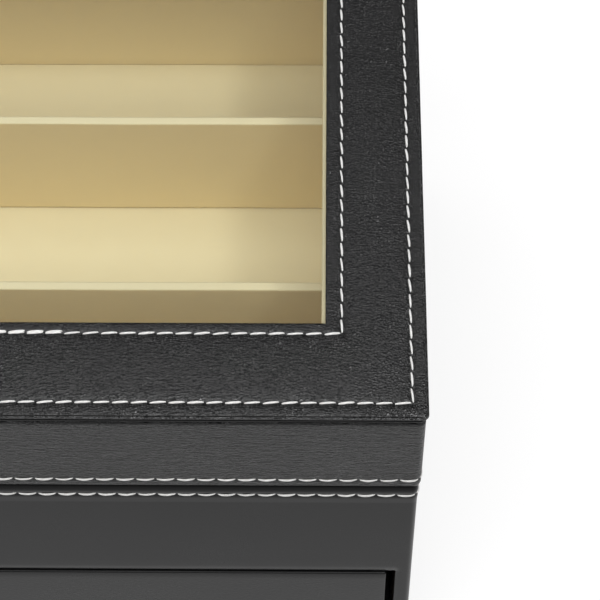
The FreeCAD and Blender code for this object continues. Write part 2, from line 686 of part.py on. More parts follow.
def make_knob():
    """A turned knob, drawn as half its outline and spun, and the screw that holds it from behind."""
    base = body_front - knob_base_height
    neck = base - knob_cove_height
    head = neck - knob_neck_length
    tip = head - knob_head_height
    rim = min(knob_rim_radius, fillet_share * knob_head_height)
    shoulder = rim * (1 - math.sqrt(0.5))

    def at(radius, y):
        return FreeCAD.Vector(radius, y, z_knob)

    corners = [at(0, body_front), at(knob_base_radius, body_front), at(knob_base_radius, base),
               at(knob_neck_radius, neck), at(knob_neck_radius, head)]
    outline = [Part.makeLine(a, b) for a, b in zip(corners, corners[1:])]
    face_rim, side_rim = at(knob_head_radius - rim, tip), at(knob_head_radius, tip + rim)
    back_side, back_rim = at(knob_head_radius, head - rim), at(knob_head_radius - rim, head)
    outline.append(Part.makeLine(corners[-1], back_rim))
    outline.append(Part.Arc(back_rim, at(knob_head_radius - shoulder, head - shoulder), back_side).toShape())
    outline.append(Part.makeLine(back_side, side_rim))
    outline.append(Part.Arc(side_rim, at(knob_head_radius - shoulder, tip + shoulder), face_rim).toShape())
    outline.append(Part.makeLine(face_rim, at(0, tip)))
    outline.append(Part.makeLine(at(0, tip), at(0, body_front)))
    knob = Part.Face(Part.Wire(outline)).revolve(FreeCAD.Vector(0, 0, z_knob), Y_AXIS, 360)
    bore_end = tip + knob_face
    bore = cylinder_y(0, z_knob, bore_end, body_front, knob_screw_radius + knob_screw_clearance)
    save("drawer_knob", knob.cut(bore))

    screw_head = cylinder_y(0, z_knob, knob_screw_seat, drawer_box_front, knob_screw_head_radius)
    recess = block(-knob_screw_head_radius, knob_screw_head_radius, drawer_box_front - knob_screw_head / 2,
                   drawer_box_front, z_knob - recess_width, z_knob + recess_width)
    shank = cylinder_y(0, z_knob, bore_end, knob_screw_seat, knob_screw_radius)
    save("knob_screw", shank.fuse(screw_head.cut(recess)).removeSplitter())


make_carcass()
make_body_leather()
make_tray_lining()
make_dividers("tray", tray_half_x, -tray_half_y, tray_half_y, z_tray_floor, divider_height,
              slot_length, slot_depth)
make_lid_boards()
make_lid_skirt_leather()
make_lid_lining()
make_lid_top()
for hinge_centre, hinge_side in zip(hinge_centres, ("left", "right")):
    make_hinge(hinge_centre, hinge_side)
save_screws("hinge_body_screws", body_hinge_screws, hinge_face, -1)
save_screws("hinge_lid_screws", lid_hinge_screws, hinge_face, -1)
make_lock_case()
make_plug()
make_strike()
make_key()
make_drawer_box()
make_dividers("drawer", drawer_inner_half_x, drawer_inner_front, drawer_inner_back, z_drawer_lining,
              drawer_divider_height, drawer_slot_length, drawer_slot_depth)
make_knob()
print("case", round(2 * panel_half_x, 2), "x", round(panel_back - panel_front, 2), "x", round(z_top, 2))
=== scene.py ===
import bpy
import json
import math
from mathutils import Matrix, Vector, noise


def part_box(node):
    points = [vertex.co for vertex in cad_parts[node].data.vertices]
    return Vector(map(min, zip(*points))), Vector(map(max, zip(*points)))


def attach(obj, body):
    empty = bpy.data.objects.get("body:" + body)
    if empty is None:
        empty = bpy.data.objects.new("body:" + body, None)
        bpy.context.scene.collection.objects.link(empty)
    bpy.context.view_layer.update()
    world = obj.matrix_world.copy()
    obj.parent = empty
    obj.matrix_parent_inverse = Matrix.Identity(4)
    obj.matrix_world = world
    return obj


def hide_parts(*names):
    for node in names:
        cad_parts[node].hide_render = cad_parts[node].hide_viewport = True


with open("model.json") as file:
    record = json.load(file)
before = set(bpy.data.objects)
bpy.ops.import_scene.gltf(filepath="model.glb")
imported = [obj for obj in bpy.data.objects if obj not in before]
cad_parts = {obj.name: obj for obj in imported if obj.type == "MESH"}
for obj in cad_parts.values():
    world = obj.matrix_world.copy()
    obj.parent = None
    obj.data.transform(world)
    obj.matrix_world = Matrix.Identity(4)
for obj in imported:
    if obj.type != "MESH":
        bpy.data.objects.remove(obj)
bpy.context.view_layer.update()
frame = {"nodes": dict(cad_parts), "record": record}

# Leather-covered display case for sunglasses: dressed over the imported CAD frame, in metres.
# The front faces -Y. Sizes below are in millimetres unless they are shares or degrees.
mm = 0.001
print("frame loaded with", len(frame["nodes"]), "nodes")


def boxOf(node):
    # a node's corners in millimetres
    low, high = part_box(node)
    return low / mm, high / mm


# Node trees: a Value wraps one socket, and an operator on it adds a Math node

class Value:
    def __init__(self, nodes, socket):
        self.nodes = nodes
        self.socket = socket

    def math(self, operation, *values):
        return self.nodes.add("ShaderNodeMath", {"operation": operation}, dict(enumerate(values)))

    def __add__(self, other):
        return self.math("ADD", self, other)

    def __sub__(self, other):
        return self.math("SUBTRACT", self, other)

    def __rsub__(self, other):
        return self.math("SUBTRACT", other, self)

    def __mul__(self, other):
        return self.math("MULTIPLY", self, other)

    def __truediv__(self, other):
        return self.math("DIVIDE", self, other)

    def __pow__(self, other):
        return self.math("POWER", self, other)

    def __neg__(self):
        return self.math("MULTIPLY", self, -1)

    __radd__ = __add__
    __rmul__ = __mul__


class Nodes:
    def __init__(self, tree):
        self.tree = tree
        tree.nodes.clear()

    def add(self, kind, settings=None, sockets=None, out=0):
        # settings first, then the sockets' values or links; the result is one of its outputs
        node = self.tree.nodes.new(kind)
        for name, value in (settings or {}).items():
            setattr(node, name, value)
        for name, value in (sockets or {}).items():
            if isinstance(value, Value):
                self.tree.links.new(value.socket, node.inputs[name])
            else:
                node.inputs[name].default_value = value
        return Value(self, node.outputs[out]) if node.outputs else None

    def mix(self, factor, a, b):
        # colours; the Mix node keeps its colour sockets at 6 and 7, and its colour result at 2
        return self.add("ShaderNodeMix", {"data_type": "RGBA"}, {0: factor, 6: a, 7: b}, 2)

    def noise(self, place, scale, detail=2.0, distortion=0.0):
        return self.add("ShaderNodeTexNoise", None,
                        {"Vector": place, "Scale": scale, "Detail": detail, "Distortion": distortion}, "Fac")

    def stretch(self, place, scale):
        return self.add("ShaderNodeMapping", None, {"Vector": place, "Scale": scale})

    def smooth(self, value, low, high, start=0.0, end=1.0):
        # goes smoothly from start to end while value goes from low to high
        return self.add("ShaderNodeMapRange", {"interpolation_type": "SMOOTHSTEP"},
                        {0: value, 1: low, 2: high, 3: start, 4: end})

    def bump(self, height):
        # height in metres
        return self.add("ShaderNodeBump", None, {"Strength": 1.0, "Distance": 1.0, "Height": height})

    def vector(self, operation, a, b):
        return self.add("ShaderNodeVectorMath", {"operation": operation}, {0: a, 1: b})

    def scaled(self, a, factor):
        return self.add("ShaderNodeVectorMath", {"operation": "SCALE"}, {0: a, "Scale": factor})

    def combine(self, **parts):
        return self.add("ShaderNodeCombineXYZ", None, parts)

    def part(self, vector, axis):
        return self.add("ShaderNodeSeparateXYZ", None, {0: vector}, axis)

    def isRay(self, *kinds):
        # 1 for rays of any of these kinds
        found = [self.add("ShaderNodeLightPath", out="Is %s Ray" % kind) for kind in kinds]
        while len(found) > 1:
            last = found.pop()
            found[-1] = last.math("MAXIMUM", found[-1], last)
        return found[0]

    def store(self, geometry, name, value):
        return self.add("GeometryNodeStoreNamedAttribute", {"data_type": "FLOAT", "domain": "POINT"},
                        {"Geometry": geometry, "Name": name, "Value": value})


def shade(tone, factor=1.0):
    return (tone[0] * factor, tone[1] * factor, tone[2] * factor, 1)


def startMaterial(name):
    # its nodes, and the place on the object that its patterns follow
    material = bpy.data.materials.new(name)
    material.use_nodes = True
    nodes = Nodes(material.node_tree)
    nodes.material = material
    return nodes, nodes.add("ShaderNodeTexCoord", out="Object")


def showSurface(nodes, surface):
    nodes.add("ShaderNodeOutputMaterial", None, {"Surface": surface})
    return nodes.material


def finishMaterial(nodes, sockets):
    return showSurface(nodes, nodes.add("ShaderNodeBsdfPrincipled", None, sockets))


# Leathers: domed pebbles of grain with painted shade in the creases between them, and folds where the skin is
# coarser; depths in millimetres
leatherLooks = {
    "panelLeather": {
        "tone": (0.0042, 0.0042, 0.0044), "shine": 0.17, "gloss": 0.6,
        "grain": 0.72, "stretch": (1, 1, 1), "deep": 0.13, "speck": 0.12,
        "crease": 0.5, "wrinkle": 0.0, "wave": 0.02},
    "skirtLeather": {
        "tone": (0.0065, 0.0065, 0.0068), "shine": 0.30, "gloss": 0.29,
        "grain": 0.95, "stretch": (0.6, 0.6, 1.4), "deep": 0.12, "speck": 0.20,
        "crease": 0.45, "wrinkle": 0.70, "wave": 0.03},
    "bodyLeather": {
        "tone": (0.0045, 0.0045, 0.0047), "shine": 0.30, "gloss": 0.135,
        "grain": 0.42, "stretch": (1, 1, 1), "deep": 0.003, "speck": 0.006,
        "crease": 0.5, "wrinkle": 0.0, "wave": 0.05},
    "drawerLeather": {
        "tone": (0.0050, 0.0050, 0.0052), "shine": 0.30, "gloss": 0.17,
        "grain": 0.60, "stretch": (0.4, 0.4, 1), "deep": 0.01, "speck": 0.03,
        "crease": 0.5, "wrinkle": 0.0, "wave": 0.30},
}


def makeLeather(name, look):
    nodes, place = startMaterial(name)
    drift = nodes.noise(place, 38.0, 3.0)
    patches = nodes.noise(place, 9.0, 2.0)
    cell = look["grain"] * mm
    cells = nodes.stretch(place, [share / cell for share in look["stretch"]])
    bent = nodes.vector("ADD", cells, nodes.add(
        "ShaderNodeTexNoise", None, {"Vector": cells, "Scale": 0.7, "Detail": 2.0}, "Color"))
    edge = nodes.add("ShaderNodeTexVoronoi", {"feature": "DISTANCE_TO_EDGE"},
                     {"Vector": bent, "Scale": 1.0, "Randomness": 1.0})
    pebble = nodes.smooth(edge, 0.0, look["crease"])
    fine = nodes.noise(cells, 1.1, 2.0)
    height = pebble * (look["deep"] * mm) + fine * (look["speck"] * mm)
    if look["wrinkle"]:
        folds = nodes.noise(nodes.stretch(place, (260, 260, 1500)), 1.0, 4.0, 0.8)
        height = height + folds * (look["wrinkle"] * mm)
    height = height + patches * (look["wave"] * mm)
    tone = nodes.mix(drift, shade(look["tone"], 0.75), shade(look["tone"], 1.3))
    # painted shade: the tone darkens to 0.45 in the creases between the pebbles
    tone = nodes.mix(nodes.smooth(edge, 0.0, 0.12), shade(look["tone"], 0.45), tone)
    shine = look["shine"] + (drift - 0.5) * 0.12 - pebble * 0.03
    return finishMaterial(nodes, {"Base Color": tone, "Roughness": shine, "Specular IOR Level": look["gloss"],
                                  "Normal": nodes.bump(height)})


leathers = {name: makeLeather(name, look) for name, look in leatherLooks.items()}

# Suede: short nap, with painted light: paler where it faces up, and a darker, warmer painted shade on upright
# cards
suedeLook = {"level": (0.80, 0.71, 0.46), "upright": (0.80, 0.66, 0.37), "nap": 0.35, "patch": 14.0}


def makeSuede(name, look):
    nodes, place = startMaterial(name)
    patches = nodes.noise(place, 1 / (look["patch"] * mm), 3.0, 0.6)
    nap = nodes.noise(place, 1 / (look["nap"] * mm), 3.0)
    combed = nodes.noise(nodes.stretch(place, (160, 900, 900)), 1.0, 3.0)
    worn = patches * 0.45 + nap * 0.2 + combed * 0.35
    up = nodes.part(nodes.add("ShaderNodeTexCoord", out="Normal"), "Z")
    # painted light: the level tone where the surface faces up, and the painted shade of the upright tone
    # where it stands upright
    tone = nodes.mix(nodes.smooth(up, 0.1, 0.8), shade(look["upright"]), shade(look["level"]))
    tone = nodes.mix(nodes.smooth(worn, 0.32, 0.66, 0.0, 0.10), tone, shade(look["upright"], 0.8))
    return finishMaterial(nodes, {
        "Base Color": tone, "Roughness": nodes.smooth(worn, 0.3, 0.7, 0.95, 0.82), "Specular IOR Level": 0.2,
        "Sheen Weight": 0.15, "Sheen Roughness": 0.45,
        "Normal": nodes.bump(nap * (0.02 * mm) + combed * (0.02 * mm))})


suede = makeSuede("creamSuede", suedeLook)

# The rest of the finishes
boardLook = {"tone": (0.36, 0.26, 0.16), "fibre": 0.5}
paperLook = {"tone": (0.028, 0.028, 0.028)}
feltLook = {"tone": (0.022, 0.022, 0.024), "fibre": 0.25}
threadLook = {"tone": (0.88, 0.87, 0.85), "turns": 2.5}
metalLooks = {
    "brightNickel": {"tone": (0.72, 0.70, 0.66), "shine": 0.16, "brush": 0.10, "stretch": (900, 900, 60)},
    "hingeNickel": {"tone": (0.62, 0.61, 0.59), "shine": 0.27, "brush": 0.16, "stretch": (60, 900, 900)},
    "zincSteel": {"tone": (0.56, 0.57, 0.60), "shine": 0.34, "brush": 0.14, "stretch": (500, 500, 500)},
}


def makeFibreboard(name, look):
    nodes, place = startMaterial(name)
    fibres = nodes.noise(nodes.stretch(place, (500, 2400, 2400)), look["fibre"], 4.0)
    specks = nodes.noise(place, 900.0, 2.0)
    tone = nodes.mix(fibres * 0.6 + specks * 0.4, shade(look["tone"], 0.7), shade(look["tone"], 1.3))
    return finishMaterial(nodes, {"Base Color": tone, "Roughness": nodes.smooth(fibres, 0.2, 0.8, 0.75, 0.9),
                                  "Normal": nodes.bump(fibres * (0.05 * mm))})


def makePaper(name, look):
    nodes, place = startMaterial(name)
    pulp = nodes.noise(place, 1400.0, 4.0)
    tone = nodes.mix(pulp, shade(look["tone"], 0.8), shade(look["tone"], 1.25))
    return finishMaterial(nodes, {"Base Color": tone, "Roughness": nodes.smooth(pulp, 0.3, 0.7, 0.7, 0.85),
                                  "Normal": nodes.bump(pulp * (0.02 * mm))})


def makeFelt(name, look):
    nodes, place = startMaterial(name)
    tangle = nodes.noise(place, 1 / (look["fibre"] * mm), 4.0, 2.0)
    tone = nodes.mix(tangle, shade(look["tone"], 0.6), shade(look["tone"], 1.5))
    return finishMaterial(nodes, {"Base Color": tone, "Roughness": 1.0, "Specular IOR Level": 0.1,
                                  "Sheen Weight": 0.3, "Normal": nodes.bump(tangle * (0.12 * mm))})


def makeThread(name, look):
    # its twist winds round the stitch, with painted shade in the grooves between the strands and lighter
    # crowns; along and around come from the tree that makes the stitches
    nodes, place = startMaterial(name)
    along = nodes.add("ShaderNodeAttribute", {"attribute_name": "along"}, out="Fac")
    around = nodes.add("ShaderNodeAttribute", {"attribute_name": "around"}, out="Fac")
    turn = (along * look["turns"] + around) * (2 * math.pi)
    strand = turn.math("SINE", turn) * 0.5 + 0.5
    fuzz = nodes.noise(place, 4000.0, 2.0)
    tone = nodes.mix(strand * 0.7 + fuzz * 0.3, shade(look["tone"], 0.86), shade(look["tone"], 1.05))
    return finishMaterial(nodes, {"Base Color": tone, "Roughness": nodes.smooth(fuzz, 0.3, 0.7, 0.55, 0.7),
                                  "Sheen Weight": 0.15, "Normal": nodes.bump(strand * (0.05 * mm))})


def makeMetal(name, look):
    nodes, place = startMaterial(name)
    lines = nodes.noise(nodes.stretch(place, look["stretch"]), 1.0, 3.0)
    smudges = nodes.noise(place, 60.0, 3.0)
    tone = nodes.mix(smudges, shade(look["tone"], 0.92), shade(look["tone"], 1.04))
    shine = look["shine"] + (smudges - 0.5) * look["brush"] + (lines - 0.5) * look["brush"]
    return finishMaterial(nodes, {"Base Color": tone, "Metallic": 1.0, "Roughness": shine,
                                  "Normal": nodes.bump(lines * (0.004 * mm))})


def makeGlass(name):
    # clear for lamps and for the light that comes back from the suede, so that the tray is lit through it
    nodes, place = startMaterial(name)
    faint = nodes.smooth(nodes.noise(place, 45.0, 3.0), 0.45, 0.8, 0.0, 0.02)
    pane = nodes.add("ShaderNodeBsdfPrincipled", None, {
        "Base Color": (0.985, 0.995, 0.985, 1), "Roughness": faint, "IOR": 1.5, "Transmission Weight": 1.0})
    clear = nodes.add("ShaderNodeBsdfTransparent", None, {"Color": (0.96, 0.97, 0.96, 1)})
    return showSurface(nodes, nodes.add("ShaderNodeMixShader", None, {
        0: nodes.isRay("Shadow", "Diffuse"), 1: pane, 2: clear}))


fibreboard = makeFibreboard("fibreboard", boardLook)
paper = makePaper("blackPaper", paperLook)
felt = makeFelt("blackFelt", feltLook)
thread = makeThread("whiteThread", threadLook)
metals = {name: makeMetal(name, look) for name, look in metalLooks.items()}
glass = makeGlass("clearGlass")
print("materials made:", len(bpy.data.materials))

# CAD nodes that stay as they are get the finish of their slot
finishes = {"fibreboard": fibreboard, "black_paper": paper, "black_felt": felt, "cream_suede": suede,
            "black_leather": leathers["bodyLeather"], "window_glass": glass,
            "polished_nickel": metals["brightNickel"], "hinge_nickel": metals["hingeNickel"],
            "zinc_steel": metals["zincSteel"]}
for part in frame["record"]["subparts"]:
    node = frame["nodes"][part["node"]]
    node.data.materials.clear()
    node.data.materials.append(finishes[part["material_slot"]])


# Meshes

def makePiece(name, points, faces, material):
    # points in millimetres
    mesh = bpy.data.meshes.new(name)
    mesh.from_pydata([(x * mm, y * mm, z * mm) for x, y, z in points], [], faces)
    mesh.polygons.foreach_set("use_smooth", [True] * len(mesh.polygons))
    mesh.materials.append(material)
    mesh.validate()
    piece = bpy.data.objects.new(name, mesh)
    bpy.context.scene.collection.objects.link(piece)
    return piece


def dress(piece, body, slot, *nodes):
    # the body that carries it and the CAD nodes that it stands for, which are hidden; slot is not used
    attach(piece, body)
    if nodes:
        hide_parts(*nodes)


def ripple(piece, amount, size, seed):
    # moves each point along its normal by smooth noise, never outwards
    mesh = piece.data
    shift = Vector((seed * 3.7, seed * 1.3, seed * 2.1))
    moves = [(noise.noise(v.co / (size * mm) + shift) - 1) * 0.5 * amount * mm * v.normal
             for v in mesh.vertices]
    for vertex, move in zip(mesh.vertices, moves):
        vertex.co += move
    mesh.update()


def bake(piece):
    # what the modifiers make becomes the piece's own mesh
    graph = bpy.context.evaluated_depsgraph_get()
    mesh = bpy.data.meshes.new_from_object(piece.evaluated_get(graph))
    piece.modifiers.clear()
    piece.data = mesh
    return piece


def thicken(piece, thickness):
    solid = piece.modifiers.new("skin", "SOLIDIFY")
    solid.thickness = thickness * mm
    solid.offset = -1
    return bake(piece)


def evenStops(count):
    return [step / count for step in range(1, count)]


def evenRows(start, rows):
    # rows say how far past the start the first one lies, the step between them, and how many there are
    first, step, count = rows
    return [start + first + step * row for row in range(count)]


def ringPoints(halfX, front, back, radius, cells):
    # one loop round a rounded rectangle, counter-clockwise from above, from the front right corner
    corners = [(halfX - radius, front + radius), (halfX - radius, back - radius),
               (radius - halfX, back - radius), (radius - halfX, front + radius)]
    points = []
    for index, (cx, cy) in enumerate(corners):
        for step in range(cells["corner"] + 1):
            angle = math.radians(90 * (index - 1 + step / cells["corner"]))
            points.append((cx + radius * math.cos(angle), cy + radius * math.sin(angle)))
        nextX, nextY = corners[(index + 1) % 4]
        begin = Vector(points[-1])
        end = begin + Vector((nextX - cx, nextY - cy))
        points += [tuple(begin.lerp(end, stop)) for stop in cells["runs"][index]]
    return points


def insetRing(low, high, inward, radius, cells):
    # the same loop, inward of a box's sides
    return ringPoints(high.x - inward, low.y + inward, high.y - inward, max(radius, 0.05), cells)


def evenCells(halfX, depth, spacing, corner):
    across, along = evenStops(round(2 * halfX / spacing)), evenStops(round(depth / spacing))
    return {"corner": corner, "runs": [along, across, along, across]}


def loftFaces(rings, count, closed, skip=None):
    faces = []
    for row in range(rings if closed else rings - 1):
        above = (row + 1) % rings
        for column in range(count):
            beside = (column + 1) % count
            if skip and skip(row, column):
                continue
            faces.append((row * count + column, row * count + beside, above * count + beside,
                          above * count + column))
    return faces


def loft(name, rings, closed, material):
    # rings are (points, height), or (points, one height for each point)
    points = []
    for ring, z in rings:
        heights = z if isinstance(z, list) else [z] * len(ring)
        points += [(x, y, height) for (x, y), height in zip(ring, heights)]
    return makePiece(name, points, loftFaces(len(rings), len(rings[0][0]), closed), material)


def roll(across, up, angles):
    # a rounded edge seen from the side: how far in and how far up at each angle in degrees
    turns = [math.radians(angle) for angle in angles]
    return [(across * (1 - math.cos(turn)), up * math.sin(turn)) for turn in turns]


def bell(distance, width):
    return math.exp(-(distance / width) ** 2)


# The lid's top panel: leather over board, drawn down along two rows of stitches
panelSizes = {
    "spacing": 2.4, "corner": 1.6, "edge": 0.4, "lip": 1.1, "lipRoll": (0.50, 0.28), "lipSide": 0.36,
    "welt": 0.25, "weltGap": 0.04, "tuck": (1.3, 1.0), "groove": 1.4, "turned": (2.1, 0.6), "thick": 1.1,
    "crown": 0.30, "margin": (0.12, 0.03), "soft": 4.0, "dip": 0.22, "dipWidth": 0.7,
    "outerSeam": (4.2, 4.5), "innerSeam": (4.2, 3.3),
    "lipRows": (1.4, 1.8, 2.4), "seamRows": (-1.2, 0.4, 7), "fieldRows": (2.7, 1.5, 9),
    "windowRows": (2.2, 0.8, 2), "lift": 0.02, "ripple": (0.06, 14.0)}
panelLow, panelHigh = boxOf("lid_top_leather")
glassLow, glassHigh = boxOf("glass_pane")
glassMargin = 7.0
windowHalfX = glassHigh.x - glassMargin
windowFront, windowBack = glassLow.y + glassMargin, glassHigh.y - glassMargin
sideFrame = panelHigh.x - windowHalfX
endFrame = windowFront - panelLow.y


def panelKnots():
    # distances in from the side edge, and those from the front or back edge that go with them
    s = panelSizes
    return [(0, 0), s["outerSeam"], (sideFrame - s["innerSeam"][0], endFrame - s["innerSeam"][1]),
            (sideFrame, endFrame)]


def between(value, start, end, i, j):
    # value lies between two knots; i and j say which way it is turned
    share = (value - start[i]) / (end[i] - start[i])
    return start[j] + (end[j] - start[j]) * share


def panelTurn(value, i, j):
    knots = panelKnots()
    for start, end in zip(knots, knots[1:]):
        if value <= end[i]:
            return between(value, start, end, i, j)
    return knots[-1][j] + value - knots[-1][i]


def panelDrop(x, y):
    # how far the leather lies under the panel's top
    s = panelSizes
    side = panelHigh.x - abs(x)
    end = panelTurn(min(y - panelLow.y, panelHigh.y - y), 1, 0)
    near = min(side, end)
    outer, inner = s["outerSeam"][0], sideFrame - s["innerSeam"][0]
    dip = s["dip"] * (bell(near - outer, s["dipWidth"]) + bell(near - inner, s["dipWidth"]))
    if outer < near < inner:
        # rounded off where the sides meet, so that the corner shows no fold
        blend = near - s["soft"] * math.log(1 + math.exp((near - max(side, end)) / s["soft"]))
        half = (inner - outer) / 2
        rise = s["crown"] * (1 - min(abs(blend - outer - half) / half, 1) ** 2)
    else:
        width = outer if near <= outer else sideFrame - inner
        across = near if near <= outer else sideFrame - near
        rise = s["margin"][near > outer] * (1 - ((across - width / 2) / (width / 2)) ** 2)
    return s["crown"] - rise + dip


def makePanel():
    s = panelSizes
    cells = evenCells(panelHigh.x, panelHigh.y - panelLow.y, s["spacing"], 5)

    def ring(side, z=None):
        end = panelTurn(side, 0, 1) if side > s["lip"] else side
        if side > sideFrame - s["edge"]:
            end = endFrame - (sideFrame - side)
        radius = max(s["corner"] - side, 0.05)
        points = ringPoints(panelHigh.x - side, panelLow.y + end, panelHigh.y - end, radius, cells)
        return points, [panelHigh.z - panelDrop(*point) for point in points] if z is None else z

    top, under = panelHigh.z, panelLow.z + s["lift"]
    outerSeam, innerSeam = s["outerSeam"][0], sideFrame - s["innerSeam"][0]
    sides = [*s["lipRows"]] + evenRows(outerSeam, s["seamRows"]) + evenRows(outerSeam, s["fieldRows"])
    sides += evenRows(innerSeam, s["seamRows"]) + evenRows(innerSeam, s["windowRows"])
    sides.append(sideFrame - s["edge"])

    # round the edge: a thin welt low down, a groove, and the leather that rolls over to the top
    across, down = s["lipRoll"]
    nose, welt = s["lip"] - across, s["welt"]
    lipSide = top - panelDrop(panelHigh.x - s["lip"], 0) - down
    lipLow = lipSide - s["lipSide"]
    weltMiddle = lipLow - s["weltGap"] - welt
    rings = [ring(s["tuck"][0], under), ring(s["tuck"][1], weltMiddle - welt)]
    rings += [ring(inward, weltMiddle + up) for inward, up in roll(welt, welt, range(-90, 91, 30))]
    rings += [ring(s["groove"], lipLow - s["weltGap"] * 0.75), ring(s["groove"], lipLow), ring(nose, lipLow)]
    rings += [ring(nose + inward, lipSide + up) for inward, up in roll(across, down, range(0, 91, 15))]
    rings += [ring(side) for side in sides]
    innerTop = top - panelDrop(windowHalfX + s["edge"], 0)
    rings += [ring(sideFrame - s["edge"] * (1 - math.sin(a)), innerTop - s["edge"] * (1 - math.cos(a)))
              for a in (0.4, 0.8, 1.2, math.pi / 2)]
    outerBack, innerBack = s["turned"][0], sideFrame - s["turned"][1]
    rings += [ring(sideFrame, under), ring(innerBack, under), ring(innerBack, top - s["thick"]),
              ring(outerBack, top - s["thick"]), ring(outerBack, under)]
    piece = loft("panelLeather", rings, True, leathers["panelLeather"])
    ripple(piece, *s["ripple"], 1)
    dress(piece, "lid", "black_leather", "lid_top_leather")


makePanel()
print("top panel made")

# The bead that frames the lid under the panel, wrapped in the same leather
beadSizes = {"spacing": 3.0, "corner": 1.8, "nose": 0.6, "droop": 0.37, "back": 1.2, "flat": 6.0,
             "rebate": 0.15, "ripple": (0.05, 22.0)}
beadLow, beadHigh = boxOf("lid_bead_frame")


def makeBead():
    s = beadSizes
    cells = evenCells(beadHigh.x, beadHigh.y - beadLow.y, s["spacing"], 8)
    nose = s["nose"]
    middle = (beadHigh.z + beadLow.z) / 2 - s["droop"]

    def ring(inward, z):
        return insetRing(beadLow, beadHigh, inward, s["corner"] - inward, cells), z

    # the nose that shows, flat faces above and below it, and the rebate that the glass lies in
    back, innerY = s["back"], glassLow.y - s["rebate"] - beadLow.y
    rings = [ring(s["flat"], beadLow.z), ring(back, beadLow.z)]
    rings += [ring(inward, middle + up) for inward, up in roll(nose, nose, range(-90, 91, 15))]
    rings += [ring(back, middle + nose), ring(back, beadHigh.z), ring(s["flat"], beadHigh.z)]
    rebate = ringPoints(glassHigh.x + s["rebate"], beadLow.y + innerY, beadHigh.y - innerY, 0.1, cells)
    rings += [(rebate, beadHigh.z), (rebate, beadLow.z)]
    piece = loft("beadLeather", rings, True, leathers["bodyLeather"])
    ripple(piece, *s["ripple"], 2)
    dress(piece, "lid", "black_leather", "lid_bead_frame")


makeBead()

# The lid's sides: one skin, rolled under at the bottom and up to the lining
skirtSizes = {
    "spacing": 2.8, "corner": 1.8, "skin": 0.6, "seam": 3.0, "dip": 0.26, "dipWidth": 0.75, "drop": 0.72,
    "hem": 1.45, "hemSlope": 0.22, "hemRoll": 0.25, "hemRows": 5, "hemBack": (2.0, 1.1), "hemLift": 0.1,
    "throatRows": ((0, 0.3), (0.2, 0), (0.6, -0.1)), "seamRows": (-1.0, 0.25, 9), "wallRows": (1.6, 2.5, 11),
    "top": 0.7, "topRoll": 0.8, "recess": 0.9, "inside": (1.4, 1.2), "clear": 0.3, "ripple": (0.08, 18.0)}
skirtLow, skirtHigh = boxOf("lid_skirt_leather")
liningBottom = boxOf("lid_lining")[0].z
throatHalfX = boxOf("tray_lining_right")[1].x + skirtSizes["clear"]
throatHalfY = boxOf("tray_lining_back")[1].y + skirtSizes["clear"]


def makeSkirt():
    s = skirtSizes
    cells = evenCells(skirtHigh.x, skirtHigh.y - skirtLow.y, s["spacing"], 8)

    def ring(inward, z):
        return insetRing(skirtLow, skirtHigh, inward, s["corner"] - inward, cells), z

    def throat(out, z):
        return ringPoints(throatHalfX + out, -throatHalfY - out, throatHalfY + out, 0.05, cells), z

    # the hem leans in and turns under sharply; the wall ends below the bead, with a recess above it
    under, low, high = skirtLow.z, skirtLow.z - s["drop"], skirtHigh.z
    seam, hemRoll, topRoll = under + s["seam"], s["hemRoll"], s["topRoll"]
    hem, hemSink, hemRows = s["hem"], s["hemSlope"] * s["hem"], s["hemRows"]
    rings = [throat(0, liningBottom)] + [throat(out, under + up) for out, up in s["throatRows"]]
    rings += [ring(s["hemBack"][0], under - s["hemLift"]), ring(s["hemBack"][1], low + s["hemLift"])]
    rings += [ring(hemSink + inward, low + hemRoll + up)
              for inward, up in roll(hemRoll, hemRoll, (-90, -65, -40))]
    rings += [ring(hemSink * (1 - row / hemRows), low + hemRoll * 0.7 + hem * row / hemRows)
              for row in range(hemRows)]
    wall = evenRows(seam, s["seamRows"]) + evenRows(seam, s["wallRows"])
    edge = high - s["top"] - topRoll
    rings += [ring(s["dip"] * bell(z - seam, s["dipWidth"]), z) for z in wall if z < edge - 0.3]
    rings += [ring(inward, edge + up) for inward, up in roll(topRoll, topRoll, (0, 25, 50, 75, 90))]
    behind = s["recess"] + s["skin"]
    rings += [ring(s["recess"], edge + topRoll), ring(s["recess"], high), ring(behind, high),
              ring(behind, low + s["inside"][0]), throat(s["skin"], low + s["inside"][1]),
              throat(s["skin"], liningBottom)]
    piece = loft("skirtLeather", rings, True, leathers["skirtLeather"])
    ripple(piece, *s["ripple"], 3)
    dress(piece, "lid", "black_leather", "lid_skirt_leather")


makeSkirt()
print("lid skirt made")

# The body: one skin round it, over the rim, and turned into the mouth of the drawer
bodySizes = {
    "spacing": 3.4, "corner": 1.8, "rim": 4.1, "foot": 0.6, "skin": 0.5,
    "seam": 5.6, "dip": 0.22, "dipWidth": 0.75, "fold": (10.0, 7.4), "foldStep": 0.12,
    "mouthRoll": 0.45, "mouthLean": 0.5, "mouthReach": (2.0, 4.0),
    "gapSide": 2.3, "gapTop": 0.65, "gapBottom": 0.85,
    "beside": (0.75, 1.1, 1.5, 2.0), "above": (0.8, 1.3, 1.9, 2.6, 3.3, 4.2),
    "turnIn": {"start": 2.6, "top": 4.2, "sill": 8.65, "sides": 40.0},
    "lowRows": (2.9, 4.2), "wallRows": (67.5, 3.2, 11), "seamRows": (-1.2, 0.3, 9), "ripple": (0.06, 30.0)}
bodyLow, bodyHigh = boxOf("body_leather")
faceLow, faceHigh = boxOf("drawer_front_leather")
cavityHalfX = boxOf("tray_lining_right")[1].x


